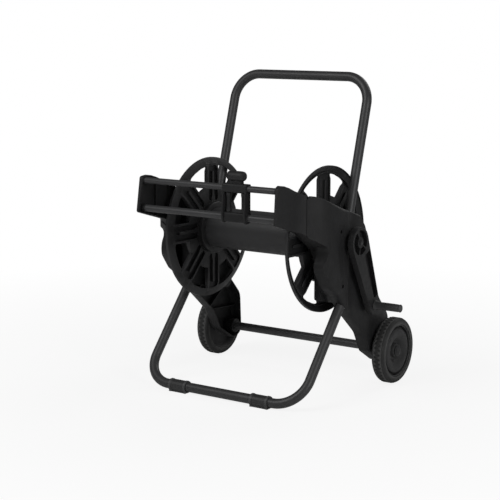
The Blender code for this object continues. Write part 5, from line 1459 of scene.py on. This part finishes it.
def build_seal():
    """Ring between the inlet's tip and the turning shaft."""
    inner = around(INLET_TIP, GAP, MIDDLING)
    outer = WATER_BORE * math.cos(math.pi / ROUND) - GAP
    start = SEAL_END - SEAL_WIDTH
    ring = pipe(start, SEAL_END - GAP, inner, outer, MIDDLING, DRUM_AXIS)
    add_piece("inlet_seal", mirrored(ring), "seal", "frame", (-start, *DRUM_AXIS))


# Studio

def cleared_tree(owner, kind):
    """Emptied node tree of a material or world, with a new output node."""
    owner.use_nodes = True
    tree = owner.node_tree
    tree.nodes.clear()
    return tree, tree.nodes.new(kind)


def seen_by_camera(tree):
    """One for the rays that the camera sends, straight or through glass."""
    path = tree.nodes.new("ShaderNodeLightPath")
    seen = tree.nodes.new("ShaderNodeMath")
    seen.operation = "MAXIMUM"
    tree.links.new(path.outputs["Is Camera Ray"], seen.inputs[0])
    tree.links.new(path.outputs["Is Transmission Ray"], seen.inputs[1])
    return seen.outputs[0]


def output_mix(tree, out, share, first, second):
    """Send two shaders to the output, mixed by a share."""
    mix = tree.nodes.new("ShaderNodeMixShader")
    tree.links.new(share, mix.inputs["Fac"])
    tree.links.new(first.outputs[0], mix.inputs[1])
    tree.links.new(second.outputs[0], mix.inputs[2])
    tree.links.new(mix.outputs[0], out.inputs["Surface"])


def floor_material():
    """Pale matt surface that the camera sees fade into white."""
    material = bpy.data.materials.new("studio_floor")
    tree, out = cleared_tree(material, "ShaderNodeOutputMaterial")
    matt = new_node(tree, "ShaderNodeBsdfDiffuse", Color=(FLOOR_COLOUR, FLOOR_COLOUR, FLOOR_COLOUR, 1.0))
    glow = new_node(tree, "ShaderNodeEmission", Color=WHITE, Strength=1.0)
    place = new_node(tree, "ShaderNodeTexCoord")
    length = tree.nodes.new("ShaderNodeVectorMath")
    length.operation = "LENGTH"
    tree.links.new(place.outputs["Object"], length.inputs[0])
    fade = ranged(tree, length.outputs["Value"], FLOOR_GLOW, 1.0, FLOOR_NEAR, FLOOR_FAR)
    share = tree.nodes.new("ShaderNodeMath")
    share.operation = "MULTIPLY"
    tree.links.new(seen_by_camera(tree), share.inputs[0])
    tree.links.new(fade, share.inputs[1])
    output_mix(tree, out, share.outputs[0], matt, glow)
    return material


def build_floor():
    """Pale floor that fades into the white backdrop and keeps the shadow."""
    bm = bmesh.new()
    bmesh.ops.create_grid(bm, x_segments=2, y_segments=2, size=FLOOR_REACH)
    mesh = bpy.data.meshes.new("floor")
    bm.to_mesh(mesh)
    bm.free()
    floor = bpy.data.objects.new("floor", mesh)
    bpy.context.scene.collection.objects.link(floor)
    floor.location = (0.0, 0.0, -FLOOR_DROP)
    mesh.materials.append(floor_material())


def build_world():
    """Even grey light all round, seen as white by the camera."""
    world = bpy.data.worlds.new("studio")
    bpy.context.scene.world = world
    tree, out = cleared_tree(world, "ShaderNodeOutputWorld")
    light = new_node(tree, "ShaderNodeBackground", Color=WHITE, Strength=WORLD_LIGHT)
    white = new_node(tree, "ShaderNodeBackground", Color=WHITE, Strength=1.0)
    output_mix(tree, out, seen_by_camera(tree), light, white)


def aimed(item, place, target):
    """Put a lamp or camera somewhere, looking at a point."""
    item.location = place
    direction = Vector(target) - Vector(place)
    item.rotation_euler = direction.to_track_quat("-Z", "Y").to_euler()
    bpy.context.scene.collection.objects.link(item)


def build_lamps():
    """Large soft lamps."""
    middle = (SHIFT_X, 0.0, LAMP_TARGET_Z)
    for name, place, size, power in LAMPS:
        lamp = bpy.data.lights.new(name, "AREA")
        lamp.shape = "DISK"
        lamp.size = size
        lamp.energy = power
        aimed(bpy.data.objects.new(name, lamp), place, middle)


def build_camera():
    """Camera at the photograph's viewpoint."""
    camera = bpy.data.cameras.new("camera")
    camera.sensor_width = SENSOR_WIDTH
    camera.lens = CAMERA_LENS
    camera.clip_end = CAMERA_REACH
    item = bpy.data.objects.new("camera", camera)
    aimed(item, CAMERA_PLACE, CAMERA_TARGET)
    bpy.context.scene.camera = item
    bpy.context.scene.view_settings.view_transform = "Standard"


build_tubes()
build_feet()
build_wheels()
build_drum()
build_outlet()
build_bushes()
build_housings()
build_crank()
build_grip()
build_rails()
build_carriage()
build_rollers()
build_knob()
build_inlet()
build_seal()
build_floor()
build_world()
build_lamps()
build_camera()
